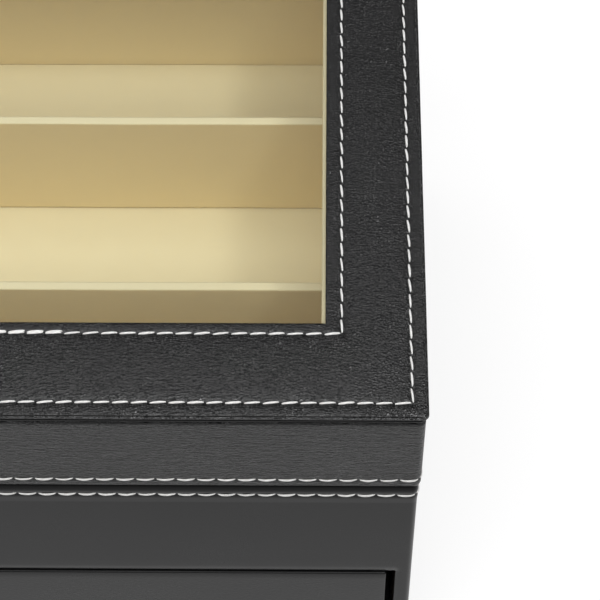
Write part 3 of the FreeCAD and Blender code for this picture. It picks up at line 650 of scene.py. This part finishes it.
def makeBody():
    s = bodySizes
    halfX, front = bodyHigh.x, bodyLow.y
    mouthX = faceHigh.x + s["gapSide"]
    mouthLow, mouthHigh = faceLow.z - s["gapBottom"], faceHigh.z + s["gapTop"]
    rolls = [across for across, _ in roll(s["mouthRoll"], 0, [22.5 * step for step in range(5)])]
    besides, aboves = [*rolls, *s["beside"]], [*rolls, *s["above"]]

    # places across the front, from left to right, with the mouth's rounding at both ends
    straight = halfX - s["corner"]
    ends = [mouthX + gap for gap in reversed(besides)]
    inner = round(2 * mouthX / s["spacing"])
    places = [-x for x in ends] + [mouthX * (2 * step / inner - 1) for step in range(1, inner)] + ends[::-1]
    cells = evenCells(halfX, bodyHigh.y - bodyLow.y, s["spacing"], 7)
    cells["runs"][3] = [(x + straight) / (2 * straight) for x in places]

    def sink(x, z):
        # how far the front leans in towards the mouth and rolls into it
        besideX, above, below = max(abs(x) - mouthX, 0), max(z - mouthHigh, 0), max(mouthLow - z, 0)
        reachX, reachZ = s["mouthReach"]
        reach = math.hypot(besideX / reachX, above / reachZ, below / reachX)
        lean = s["mouthLean"] * max(1 - reach, 0) ** 2
        gap, bend = math.hypot(besideX, above + below), s["mouthRoll"]
        return lean + (bend - math.sqrt(bend ** 2 - (bend - gap) ** 2) if gap < bend else 0)

    seam = bodyHigh.z - s["seam"]
    foldLow, foldHigh = (bodyHigh.z - down for down in s["fold"])
    rimLow = bodyHigh.z - s["rim"]

    def wallOffset(z):
        step = min(max((foldHigh - z) / (foldHigh - foldLow), 0), 1)
        return s["dip"] * bell(z - seam, s["dipWidth"]) + s["foldStep"] * step

    def ring(inward, z):
        return insetRing(bodyLow, bodyHigh, inward, s["corner"] - inward, cells), z

    low, foot = bodyLow.z, s["foot"]
    heights = [low + foot + 0.4, *s["lowRows"]] + [mouthLow - gap for gap in reversed(besides)]
    heights += [mouthLow + (mouthHigh - mouthLow) * stop for stop in evenStops(16)]
    heights += [mouthHigh + gap for gap in aboves]
    heights += evenRows(0, s["wallRows"]) + evenRows(seam, s["seamRows"]) + [rimLow]
    heights += [foldLow - 0.4, foldLow, foldLow + 0.4, foldHigh - 0.4, foldHigh, foldHigh + 0.3]
    heights.sort()

    # the foot, the wall with its mouth, the rim and its turned-down edge
    base = wallOffset(low) + foot
    rings = [(insetRing(bodyLow, bodyHigh, base, s["corner"], cells), low)]
    rings += [ring(base - up, low + inward) for inward, up in roll(foot, foot, (30, 60, 90))]
    levels = [None] * len(rings) + heights
    for z in heights:
        points, _ = ring(wallOffset(z), z)
        rings.append(([(x, y + (sink(x, z) if y < front + 0.6 and abs(x) < straight + 0.01 else 0))
                       for x, y in points], z))
    rings += [ring(inward, rimLow + up) for inward, up in
              roll(s["rim"], s["rim"], [7.5 * step for step in range(1, 13)])]
    reach = halfX - cavityHalfX - 0.03
    rings += [ring(reach, bodyHigh.z), ring(reach, bodyHigh.z - 0.3)]

    count = len(rings[0][0])
    frontStart = count - len(places)
    points = [(x, y, z) for loop, z in rings for x, y in loop]

    def inMouth(row, column):
        pair = levels[row:row + 2]
        if len(pair) < 2 or None in pair or not frontStart <= column < count - 1:
            return False
        x = (places[column - frontStart] + places[column - frontStart + 1]) / 2
        return abs(x) < mouthX and mouthLow < sum(pair) / 2 < mouthHigh

    faces = loftFaces(len(rings), count, False, inMouth)

    # the turned-in edge, followed round the mouth: along the sill, up, along the top and down
    tiny = 1e-6
    rows = [i for i, z in enumerate(levels) if z is not None and mouthLow - tiny <= z <= mouthHigh + tiny]
    columns = [frontStart + i for i, x in enumerate(places) if abs(x) <= mouthX + tiny]
    border = [(rows[0], column) for column in columns] + [(row, columns[-1]) for row in rows[1:]]
    border += [(rows[-1], column) for column in columns[-2::-1]]
    border += [(row, columns[0]) for row in rows[-2:0:-1]]
    loops = [[row * count + column for row, column in border]]
    turnIn = s["turnIn"]
    for depth in turnIn.values():
        loop = []
        for row, column in border:
            x, _, z = points[row * count + column]
            loop.append(len(points))
            side = {rows[0]: "sill", rows[-1]: "top"}.get(row, "sides")
            points.append((x, front + min(depth, turnIn[side]), z))
        loops.append(loop)
    for near, far in zip(loops, loops[1:]):
        for i in range(len(border)):
            j = (i + 1) % len(border)
            if near is loops[0] or points[near[i]] != points[far[i]] or points[near[j]] != points[far[j]]:
                faces.append((near[i], near[j], far[j], far[i]))

    piece = makePiece("bodyLeather", points, faces, leathers["bodyLeather"])
    ripple(piece, *s["ripple"], 4)
    thicken(piece, s["skin"])
    dress(piece, "base", "black_leather", "body_leather")


makeBody()
print("body made")


def slab(name, low, high, radii, spacing, material, openBack=False):
    # a block with all its edges rounded; radii along X, Y and Z, and no face at the back if openBack
    def stops(a, b, radius, rounds):
        turns = [radius * (1 - math.cos(math.radians(90 * step / rounds))) for step in range(rounds)]
        count = max(round((b - a - 2 * radius) / spacing), 1)
        middle = [a + radius + (b - a - 2 * radius) * step / count for step in range(count + 1)]
        return [a + t for t in turns] + middle + [b - t for t in reversed(turns)]

    axes = [stops(low[i], high[i], radii[i], 3) for i in range(3)]
    if openBack:
        axes[1] = axes[1][:-4] + [high[1]]
    counts = [len(axis) for axis in axes]
    index, points, faces = {}, [], []

    def point(i, j, k):
        key = (i, j, k)
        if key not in index:
            p = [axes[0][i], axes[1][j], axes[2][k]]
            q, d = [], []
            for a in range(3):
                top = high[a] if openBack and a == 1 else high[a] - radii[a]
                q.append(min(max(p[a], low[a] + radii[a]), top))
                d.append((p[a] - q[a]) / radii[a])
            length = math.sqrt(sum(v * v for v in d)) or 1
            index[key] = len(points)
            points.append([q[a] + radii[a] * d[a] / length for a in range(3)])
        return index[key]

    for axis in range(3):
        u, v = (axis + 1) % 3, (axis + 2) % 3
        for end in (0, counts[axis] - 1):
            if openBack and axis == 1 and end:
                continue
            for i in range(counts[u] - 1):
                for j in range(counts[v] - 1):
                    quad = []
                    for a, b in ((i, j), (i + 1, j), (i + 1, j + 1), (i, j + 1)):
                        key = [0, 0, 0]
                        key[axis], key[u], key[v] = end, a, b
                        quad.append(point(*key))
                    faces.append(quad if end else quad[::-1])
    return makePiece(name, points, faces, material)


# Upright boards, their edges eased so that the leather rolls over them
boardSizes = {
    "base": {"nodes": ("front_rail_board", "back_board", "left_side_board", "right_side_board"),
             "side": 1.75, "top": 3.2},
    "lid": {"nodes": ("lid_front_board", "lid_back_board", "lid_left_board", "lid_right_board"),
            "side": 1.7, "top": 2.0},
}
boardEnd, boardSpacing = 0.1, 30.0
for body, s in boardSizes.items():
    for node in s["nodes"]:
        low, high = boxOf(node)
        acrossX = high.x - low.x > high.y - low.y
        first, *words = node.split("_")
        board = slab(first + "".join(word.title() for word in words), low, high,
                     (boardEnd if acrossX else s["side"], s["side"], s["top"]), boardSpacing, fibreboard)
        dress(board, body, "fibreboard", node)

# The panel's board, under its leather
panelBoard = {"edge": 2.15, "hole": 0.65, "corner": 0.3, "thick": 0.36}


def makePanelBoard(s):
    cells = evenCells(panelHigh.x, panelHigh.y - panelLow.y, boardSpacing, 1)
    out = s["hole"]
    outer = insetRing(panelLow, panelHigh, s["edge"], s["corner"], cells)
    hole = ringPoints(windowHalfX + out, windowFront - out, windowBack + out, s["corner"], cells)
    low, high = panelLow.z, panelLow.z + s["thick"]
    piece = loft("panelBoard", [(outer, low), (outer, high), (hole, high), (hole, low)], True, fibreboard)
    dress(piece, "lid", "fibreboard", "lid_top_board")


makePanelBoard(panelBoard)

# The drawer's front: leather over board, turned back round its edges
faceSizes = {"edge": 0.55, "spacing": 3.2, "skin": 0.5, "ripple": (0.10, 26.0)}
faceSkin = slab("drawerFaceLeather", faceLow, faceHigh, [faceSizes["edge"]] * 3, faceSizes["spacing"],
                leathers["drawerLeather"], True)
ripple(faceSkin, *faceSizes["ripple"], 5)
thicken(faceSkin, faceSizes["skin"])
dress(faceSkin, "drawer", "black_leather", "drawer_front_leather")

# Cards covered with suede: floors and walls of the tray and the drawer, lining of the lid
cardSizes = {"edge": 0.35, "top": 0.6, "spacing": 5.0, "ripple": (0.10, 16.0), "frameRipple": (0.06, 16.0)}


def makeCard(name, node, radii, body, seed):
    low, high = boxOf(node)
    piece = slab(name, low, high, radii, cardSizes["spacing"], suede)
    ripple(piece, *cardSizes["ripple"], seed)
    dress(piece, body, "cream_suede", node)


edge, topEdge = cardSizes["edge"], cardSizes["top"]
makeCard("trayFloor", "tray_floor_lining", (edge, edge, edge), "base", 6)
for seed, side in enumerate(("Front", "Back", "Left", "Right"), 7):
    radii = (edge, topEdge, topEdge) if side in ("Front", "Back") else (topEdge, edge, topEdge)
    makeCard("trayWall" + side, "tray_lining_" + side.lower(), radii, "base", seed)
makeCard("drawerFloor", "drawer_floor_lining", (edge, edge, edge), "drawer", 11)


def makeFrameCard(name, node, holeHalfX, holeFront, holeBack, radius, body, seed):
    # a card with a rectangular hole, its edges rounded
    low, high = boxOf(node)
    cells = evenCells(high.x, high.y - low.y, cardSizes["spacing"], 2)

    def outer(z):
        return ringPoints(high.x, low.y, high.y, 0.05, cells), z

    def hole(out, z):
        return ringPoints(holeHalfX + out, holeFront - out, holeBack + out, 0.05, cells), z

    turns = [(radius * (1 - math.sin(a)), radius * (1 - math.cos(a))) for a in
             [math.radians(22.5 * step) for step in range(5)]]
    rings = [outer(low.z), outer(high.z)] + [hole(out, high.z - down) for out, down in turns]
    rings += [hole(out, low.z + down) for out, down in reversed(turns)]
    piece = loft(name, rings, True, suede)
    ripple(piece, *cardSizes["frameRipple"], seed)
    dress(piece, body, "cream_suede", node)


trayLow, trayHigh = boxOf("tray_floor_lining")
drawerLow, drawerHigh = boxOf("drawer_floor_lining")
retainerLip = 1.0
makeFrameCard("lidLining", "lid_lining", trayHigh.x, trayLow.y, trayHigh.y, 0.7, "lid", 12)
makeFrameCard("glassRetainer", "glass_retainer", windowHalfX - retainerLip, windowFront + retainerLip,
              windowBack - retainerLip, 0.6, "lid", 13)
makeFrameCard("drawerLining", "drawer_lining", drawerHigh.x, drawerLow.y, drawerHigh.y, 0.5, "drawer", 14)
print("suede cards made")

# The felt under the case
dress(slab("baseFelt", *boxOf("base_felt"), (0.4, 0.4, 0.4), 6.0, felt), "base", "black_felt", "base_felt")


# Geometry Nodes

def startTree(name, *inputs):
    # inputs are (kind, names); each name becomes a named input of the tree
    tree = bpy.data.node_groups.new(name, "GeometryNodeTree")
    tree.interface.new_socket("Geometry", in_out="INPUT", socket_type="NodeSocketGeometry")
    tree.interface.new_socket("Geometry", in_out="OUTPUT", socket_type="NodeSocketGeometry")
    for kind, titles in inputs:
        for title in titles.split():
            tree.interface.new_socket(title, in_out="INPUT", socket_type="NodeSocket" + kind)
    nodes = Nodes(tree)
    source = tree.nodes.new("NodeGroupInput")
    return tree, nodes, {socket.name: Value(nodes, socket) for socket in source.outputs if socket.name}


def finishTree(nodes, instances, material):
    real = nodes.add("GeometryNodeRealizeInstances", None, {"Geometry": instances})
    real = nodes.add("GeometryNodeSetShadeSmooth", None, {"Geometry": real})
    real = nodes.add("GeometryNodeSetMaterial", None, {"Geometry": real, "Material": material})
    nodes.add("NodeGroupOutput", None, {"Geometry": real})


def growPiece(name, tree, inputs, seedMesh=None):
    # runs a tree on its own object and keeps the result as a plain mesh
    piece = bpy.data.objects.new(name, seedMesh or bpy.data.meshes.new(name))
    bpy.context.scene.collection.objects.link(piece)
    modifier = piece.modifiers.new("tree", "NODES")
    modifier.node_group = tree
    for item in tree.interface.items_tree:
        if item.item_type == "SOCKET" and item.in_out == "INPUT" and item.name in inputs:
            modifier[item.identifier] = inputs[item.name]
    return bake(piece)


def makeStitchTree():
    # one thread along each run of the path: it shows between the holes and dives under the leather at each
    tree, nodes, give = startTree("stitchRow", ("Float", "Pitch Cover Thickness Rise Sag Lean Loose"),
                                  ("Int", "Seed"), ("Material", "Thread"))
    path = nodes.add("GeometryNodeMeshToCurve", None, {"Mesh": give["Geometry"]})
    path = nodes.add("GeometryNodeResampleCurve", {"mode": "LENGTH"},
                     {"Curve": path, "Length": give["Pitch"] / 16})
    total = nodes.add("GeometryNodeSplineLength")
    rounded = total.math("ROUND", total / give["Pitch"])
    along = nodes.add("GeometryNodeSplineParameter", out="Length") * rounded / total
    number = along.math("FLOOR", along)
    spot = (along - number - 0.5) * 2 / give["Cover"]
    square = spot * spot
    shown = square.math("MAXIMUM", 1 - square, 0.0)
    hidden = nodes.smooth(square, 0.72, 1.25)

    def loose(low, high, offset):
        which = number + nodes.add("GeometryNodeCurveOfPoint", out="Curve Index") * 977
        return nodes.add("FunctionNodeRandomValue", {"data_type": "FLOAT"}, {
            2: low, 3: high, "ID": which, "Seed": give["Seed"] + offset}, 1)

    tangent = nodes.add("GeometryNodeInputTangent")
    facing = nodes.add("GeometryNodeInputNamedAttribute", {"data_type": "FLOAT_VECTOR"}, {"Name": "facing"})
    facing = nodes.add("ShaderNodeVectorMath", {"operation": "NORMALIZE"}, {0: facing})
    beside = nodes.vector("CROSS_PRODUCT", facing, tangent)
    lean = give["Lean"] + give["Loose"] * loose(-1.0, 1.0, 1)
    inner = spot.math("MAXIMUM", spot.math("MINIMUM", spot, 1.0), -1.0)
    sideways = lean * inner * give["Pitch"] * 0.5 + give["Sag"] * (0.45 - shown) * loose(0.8, 1.2, 2)
    upwards = give["Rise"] * shown * loose(0.85, 1.15, 3) - give["Thickness"] * 1.1 * hidden
    move = nodes.vector("ADD", nodes.scaled(beside, sideways), nodes.scaled(facing, upwards))
    width = (shown ** 0.45 * 0.8 + 0.2) * loose(0.9, 1.12, 4)
    path = nodes.store(nodes.store(path, "along", along), "width", width)
    path = nodes.add("GeometryNodeSetPosition", None, {"Geometry": path, "Offset": move})
    profile = nodes.add("GeometryNodeCurvePrimitiveCircle", None,
                        {"Resolution": 7, "Radius": give["Thickness"] * 0.5})
    profile = nodes.store(profile, "around", nodes.add("GeometryNodeSplineParameter"))
    stored = nodes.add("GeometryNodeInputNamedAttribute", {"data_type": "FLOAT"}, {"Name": "width"})
    stitches = nodes.add("GeometryNodeCurveToMesh", None,
                         {"Curve": path, "Profile Curve": profile, "Scale": stored})
    finishTree(nodes, stitches, give["Thread"])
    return tree


stitchTree = makeStitchTree()


def seamMesh(name, runs):
    # a run is a list of (point, facing) in millimetres and becomes one chain of edges
    points = [tuple(Vector(point) * mm) for run in runs for point, _ in run]
    edges, start = [], 0
    for run in runs:
        edges += [(start + i, start + i + 1) for i in range(len(run) - 1)]
        start += len(run)
    mesh = bpy.data.meshes.new(name)
    mesh.from_pydata(points, edges, [])
    facing = mesh.attributes.new("facing", "FLOAT_VECTOR", "POINT")
    facing.data.foreach_set("vector", [v for run in runs for _, out in run for v in out])
    return mesh


def levelRuns(halfX, front, back, z):
    # a row with square corners on the top panel, in the order that the needle goes
    corners = [(halfX, front, z), (halfX, back, z), (-halfX, back, z), (-halfX, front, z)]
    return [[(corners[i], (0, 0, 1)), (corners[(i + 1) % 4], (0, 0, 1))] for i in range(4)]


def wallRuns(halfX, front, back, z, radius):
    # a row round the sides; each run goes from the middle of one rounded corner to the middle of the next
    corners = [(halfX - radius, front + radius, -90), (halfX - radius, back - radius, 0),
               (radius - halfX, back - radius, 90), (radius - halfX, front + radius, 180)]

    def arc(corner, angles):
        turns = [math.radians(corner[2] + angle) for angle in angles]
        return [((corner[0] + radius * math.cos(a), corner[1] + radius * math.sin(a), z),
                 (math.cos(a), math.sin(a), 0)) for a in turns]

    return [arc(corners[i], (45, 60, 75, 90)) + arc(corners[(i + 1) % 4], (0, 15, 30, 45)) for i in range(4)]


sideSeam = {"Pitch": 5.3, "Cover": 0.93, "Thickness": 0.57, "Rise": 0.22, "Sag": 0.34, "Lean": 3.0,
            "Loose": 1.2}
seamSizes = {
    "panelStitches": {"Pitch": 4.73, "Cover": 0.90, "Thickness": 0.62, "Rise": 0.20, "Sag": 0.06, "Lean": 5.0,
                      "Loose": 2.0, "Seed": 11},
    "skirtStitches": {**sideSeam, "Seed": 23},
    "bodyStitches": {**sideSeam, "Seed": 37},
}


def makeStitches(name, runs, body):
    inputs = dict(seamSizes[name])
    for title in ("Pitch", "Thickness", "Rise", "Sag"):
        inputs[title] = inputs[title] * mm
    for title in ("Lean", "Loose"):
        inputs[title] = math.tan(math.radians(inputs[title]))
    inputs["Thread"] = thread
    piece = growPiece(name, stitchTree, inputs, seamMesh(name, runs))
    dress(piece, body, "black_leather")
    print(name, len(piece.data.polygons), "faces")


outerSide, outerEnd = panelSizes["outerSeam"]
innerSide, innerEnd = panelSizes["innerSeam"]
seamTop = panelHigh.z - panelSizes["crown"] - panelSizes["dip"]
panelRuns = levelRuns(panelHigh.x - outerSide, panelLow.y + outerEnd, panelHigh.y - outerEnd, seamTop)
panelRuns += levelRuns(windowHalfX + innerSide, windowFront - innerEnd, windowBack + innerEnd, seamTop)
doubled = {"from": 28.0, "to": 76.0, "back": 0.3, "up": 0.15}  # the inner front row is sewn over itself here
panelRuns.append([((x, windowFront - innerEnd + doubled["back"], seamTop + doubled["up"]), (0, 0, 1))
                  for x in (doubled["from"], doubled["to"])])
makeStitches("panelStitches", panelRuns, "lid")
for name, low, high, s, z, body in (
        ("skirtStitches", skirtLow, skirtHigh, skirtSizes, skirtLow.z + skirtSizes["seam"], "lid"),
        ("bodyStitches", bodyLow, bodyHigh, bodySizes, bodyHigh.z - bodySizes["seam"], "base")):
    dip = s["dip"]
    makeStitches(name, wallRuns(high.x - dip, low.y + dip, high.y - dip, z, s["corner"] - dip), body)


def makeCardTree():
    # upright cards with a rounded top, side by side: an egg crate's cards in one direction
    tree, nodes, give = startTree("cardRow", ("Float", "Length Thickness Height Crown"), ("Int", "Count"),
                                  ("Vector", "Start Step"), ("Float", "Turn Bow"), ("Material", "Suede"))
    half = give["Length"] * 0.5
    rail = nodes.add("GeometryNodeCurvePrimitiveLine", None, {
        "Start": nodes.combine(X=-half), "End": nodes.combine(X=half)})
    rail = nodes.add("GeometryNodeResampleCurve", {"mode": "LENGTH"}, {"Curve": rail, "Length": 4 * mm})
    profile = nodes.add("GeometryNodeCurvePrimitiveQuadrilateral", {"mode": "RECTANGLE"},
                        {"Width": give["Thickness"], "Height": give["Height"]})
    height = nodes.part(nodes.add("GeometryNodeInputPosition"), "Y")
    atTop = height.math("GREATER_THAN", height, 0.0)
    profile = nodes.add("GeometryNodeFilletCurve", {"mode": "POLY"}, {
        "Curve": profile, "Count": 6, "Radius": give["Crown"] * atTop + 0.1 * mm, "Limit Radius": True})
    profile = nodes.add("GeometryNodeResampleCurve", {"mode": "LENGTH"},
                        {"Curve": profile, "Length": 0.45 * mm})
    card = nodes.add("GeometryNodeCurveToMesh", None,
                     {"Curve": rail, "Profile Curve": profile, "Fill Caps": True})
    card = nodes.add("GeometryNodeTransform", None,
                     {"Geometry": card, "Translation": nodes.combine(Z=give["Height"] * 0.5)})
    places = nodes.add("GeometryNodeMeshLine", None, {
        "Count": give["Count"], "Start Location": give["Start"], "Offset": give["Step"]})
    facing = nodes.add("FunctionNodeEulerToRotation", None, {0: nodes.combine(Z=give["Turn"])})
    cards = nodes.add("GeometryNodeInstanceOnPoints", None,
                      {"Points": places, "Instance": card, "Rotation": facing})
    cards = nodes.add("GeometryNodeRealizeInstances", None, {"Geometry": cards})
    here = nodes.add("GeometryNodeInputPosition")
    sway = nodes.add("ShaderNodeTexNoise", None, {"Vector": here, "Scale": 22.0, "Detail": 1.0}, "Color")
    sway = nodes.scaled(nodes.vector("SUBTRACT", sway, (0.5, 0.5, 0.5)), give["Bow"])
    sway = nodes.vector("MULTIPLY", sway, (1, 1, 0.15))
    cards = nodes.add("GeometryNodeSetPosition", None, {"Geometry": cards, "Offset": sway})
    finishTree(nodes, cards, give["Suede"])
    return tree


cardTree = makeCardTree()
dividerSizes = {"crown": 1.3, "bow": 0.5, "rows": 3}


def makeDividers(name, prefix, body):
    # long cards along X, and the cross cards between them
    s = dividerSizes
    low, high = boxOf(prefix + "_long_divider_1")
    secondLow, _ = boxOf(prefix + "_long_divider_2")
    crossLow, crossHigh = boxOf(prefix + "_cross_divider_1")
    thickness, pitch = high.y - low.y, secondLow.y - low.y
    z = high.z - low.z
    shared = {"Thickness": thickness * mm, "Height": z * mm, "Crown": s["crown"] * mm, "Bow": s["bow"] * mm,
              "Suede": suede}
    rows = growPiece(name, cardTree, {
        **shared, "Length": (high.x - low.x) * mm, "Count": s["rows"] - 1, "Turn": 0.0,
        "Start": Vector((0, (low.y + high.y) / 2, low.z)) * mm, "Step": Vector((0, pitch, 0)) * mm})
    depth = low.y - crossLow.y
    crossX = (crossLow.x + crossHigh.x) / 2
    cross = growPiece(name + "Cross", cardTree, {
        **shared, "Length": (depth + 0.1) * mm, "Count": s["rows"], "Turn": math.pi / 2,
        "Start": Vector((crossX, crossLow.y + depth / 2, low.z)) * mm, "Step": Vector((0, pitch, 0)) * mm})
    dress(rows, body, "cream_suede", prefix + "_long_divider_1", prefix + "_long_divider_2")
    dress(cross, body, "cream_suede", prefix + "_cross_divider_1")
    print(name, len(rows.data.polygons) + len(cross.data.polygons), "faces")


makeDividers("trayDividers", "tray", "base")
makeDividers("drawerDividers", "drawer", "drawer")

# Floor, light and camera
# tone and far are the table's painted pool of light: tone near the case, fading to far between from and to
floorSizes = {"half": 6.0, "tone": 0.66, "far": 0.2, "from": 0.22, "to": 0.6, "shadow": 0.34, "white": 0.74,
              "whiteFrom": (0.3, 1.5)}  # metres


def makeFloor(s):
    mesh = bpy.data.meshes.new("studioFloor")
    h = s["half"]
    mesh.from_pydata([(-h, -h, 0), (h, -h, 0), (h, h, 0), (-h, h, 0)], [], [(0, 1, 2, 3)])
    floor = bpy.data.objects.new("studioFloor", mesh)
    bpy.context.scene.collection.objects.link(floor)
    nodes, place = startMaterial("studioPaper")
    # a table for the light that comes back from it, with a painted pool of light, pale near the case and dark
    # farther out; white for the camera, metal and glass
    away = nodes.add("ShaderNodeVectorMath", {"operation": "LENGTH"}, {0: place}, "Value")
    grain = nodes.noise(place, 400.0, 3.0) * 0.03 + 0.985
    paintedPoolTable = nodes.smooth(away, s["from"], s["to"], s["tone"], s["far"]) * grain
    white = shade((1, 1, 1))
    lit = nodes.add("ShaderNodeBsdfDiffuse", None, {"Color": nodes.mix(paintedPoolTable, shade((0, 0, 0)), white)})
    dim = nodes.add("ShaderNodeBsdfDiffuse", None, {"Color": shade((1, 1, 1), s["shadow"])})
    glow = nodes.add("ShaderNodeEmission", None, {
        "Color": white, "Strength": nodes.smooth(away, *s["whiteFrom"], s["white"], 1.0)})
    seen = nodes.add("ShaderNodeAddShader", None, {0: dim, 1: glow})
    surface = nodes.add("ShaderNodeMixShader", None, {
        0: nodes.isRay("Camera", "Glossy", "Transmission"), 1: lit, 2: seen})
    mesh.materials.append(showSurface(nodes, surface))


makeFloor(floorSizes)

# The room: dark near the horizon and straight above, a wide pale wall part of the way up
skySizes = {"low": 0.05, "front": 0.50, "back": 0.36, "top": 0.08, "frontFrom": (0.28, 0.46),
            "backFrom": (0.45, 0.70), "to": (0.89, 0.95)}


def makeSky(s):
    world = bpy.data.worlds.new("studio")
    bpy.context.scene.world = world
    world.use_nodes = True
    nodes = Nodes(world.node_tree)
    place = nodes.add("ShaderNodeTexCoord", out="Generated")
    height, depth = nodes.part(place, "Z"), nodes.part(place, "Y")
    front = nodes.smooth(height, *s["frontFrom"], s["low"], s["front"])
    back = nodes.smooth(height, *s["backFrom"], s["low"] * 2, s["back"])
    behind = nodes.smooth(depth, -0.15, 0.15)
    wall = front * (1 - behind) + back * behind
    above = nodes.smooth(height, *s["to"])
    # white where the camera itself looks past the floor
    seen = nodes.isRay("Camera")
    level = (wall * (1 - above) + above * s["top"]) * (1 - seen) + seen
    sky = nodes.add("ShaderNodeBackground", None, {"Color": shade((1, 1, 1)), "Strength": level})
    nodes.add("ShaderNodeOutputWorld", None, {"Surface": sky})


makeSky(skySizes)

# Lamps: wide ones over the back and over the front, and a small one from the upper right; metres and watts
lampSizes = {
    "overhead": {"place": (0.0, 0.276, 1.35), "aim": (0.0, 0.276, 0.1), "size": (1.1, 0.56), "watts": 3.9},
    "frontFill": {"place": (0.0, -0.62, 1.35), "aim": (0.0, -0.1, 0.1), "size": (1.2, 0.9), "watts": 10.4},
    "keyRight": {"place": (0.71, -0.42, 1.72), "aim": (0.1, 0.0, 0.1), "size": (0.24, 0.24), "watts": 5.5},
}
for name, s in lampSizes.items():
    lamp = bpy.data.lights.new(name, "AREA")
    lamp.shape = "RECTANGLE"
    lamp.size, lamp.size_y = s["size"]
    lamp.energy = s["watts"]
    holder = bpy.data.objects.new(name, lamp)
    bpy.context.scene.collection.objects.link(holder)
    holder.location = s["place"]
    holder.rotation_euler = (Vector(s["aim"]) - Vector(s["place"])).to_track_quat("-Z", "Y").to_euler()

# The camera that was fitted to the photo; its place in millimetres from the frame's origin
cameraSizes = {"place": (143.063, -343.609, 580.735), "elevation": 56.5739, "azimuth": -1.3843,
               "roll": -0.9378, "lens": 120.49}


def makeCamera(s):
    data = bpy.data.cameras.new("camera")
    data.sensor_width = 36
    data.lens = s["lens"]
    data.clip_start, data.clip_end = 0.02, 50
    camera = bpy.data.objects.new("camera", data)
    bpy.context.scene.collection.objects.link(camera)
    azimuth, elevation, roll = (math.radians(s[k]) for k in ("azimuth", "elevation", "roll"))
    ahead = Vector((math.sin(azimuth) * math.cos(elevation), math.cos(azimuth) * math.cos(elevation),
                    -math.sin(elevation)))
    right = Vector((math.cos(azimuth), -math.sin(azimuth), 0))
    up = right.cross(ahead)
    x = right * math.cos(roll) + up * math.sin(roll)
    y = up * math.cos(roll) - right * math.sin(roll)
    turn = Matrix((x, y, -ahead)).transposed().to_4x4()
    camera.matrix_world = Matrix.Translation(Vector(s["place"]) * mm) @ turn
    bpy.context.scene.camera = camera


makeCamera(cameraSizes)
bpy.context.scene.view_settings.view_transform = "Standard"

print("scene ready")
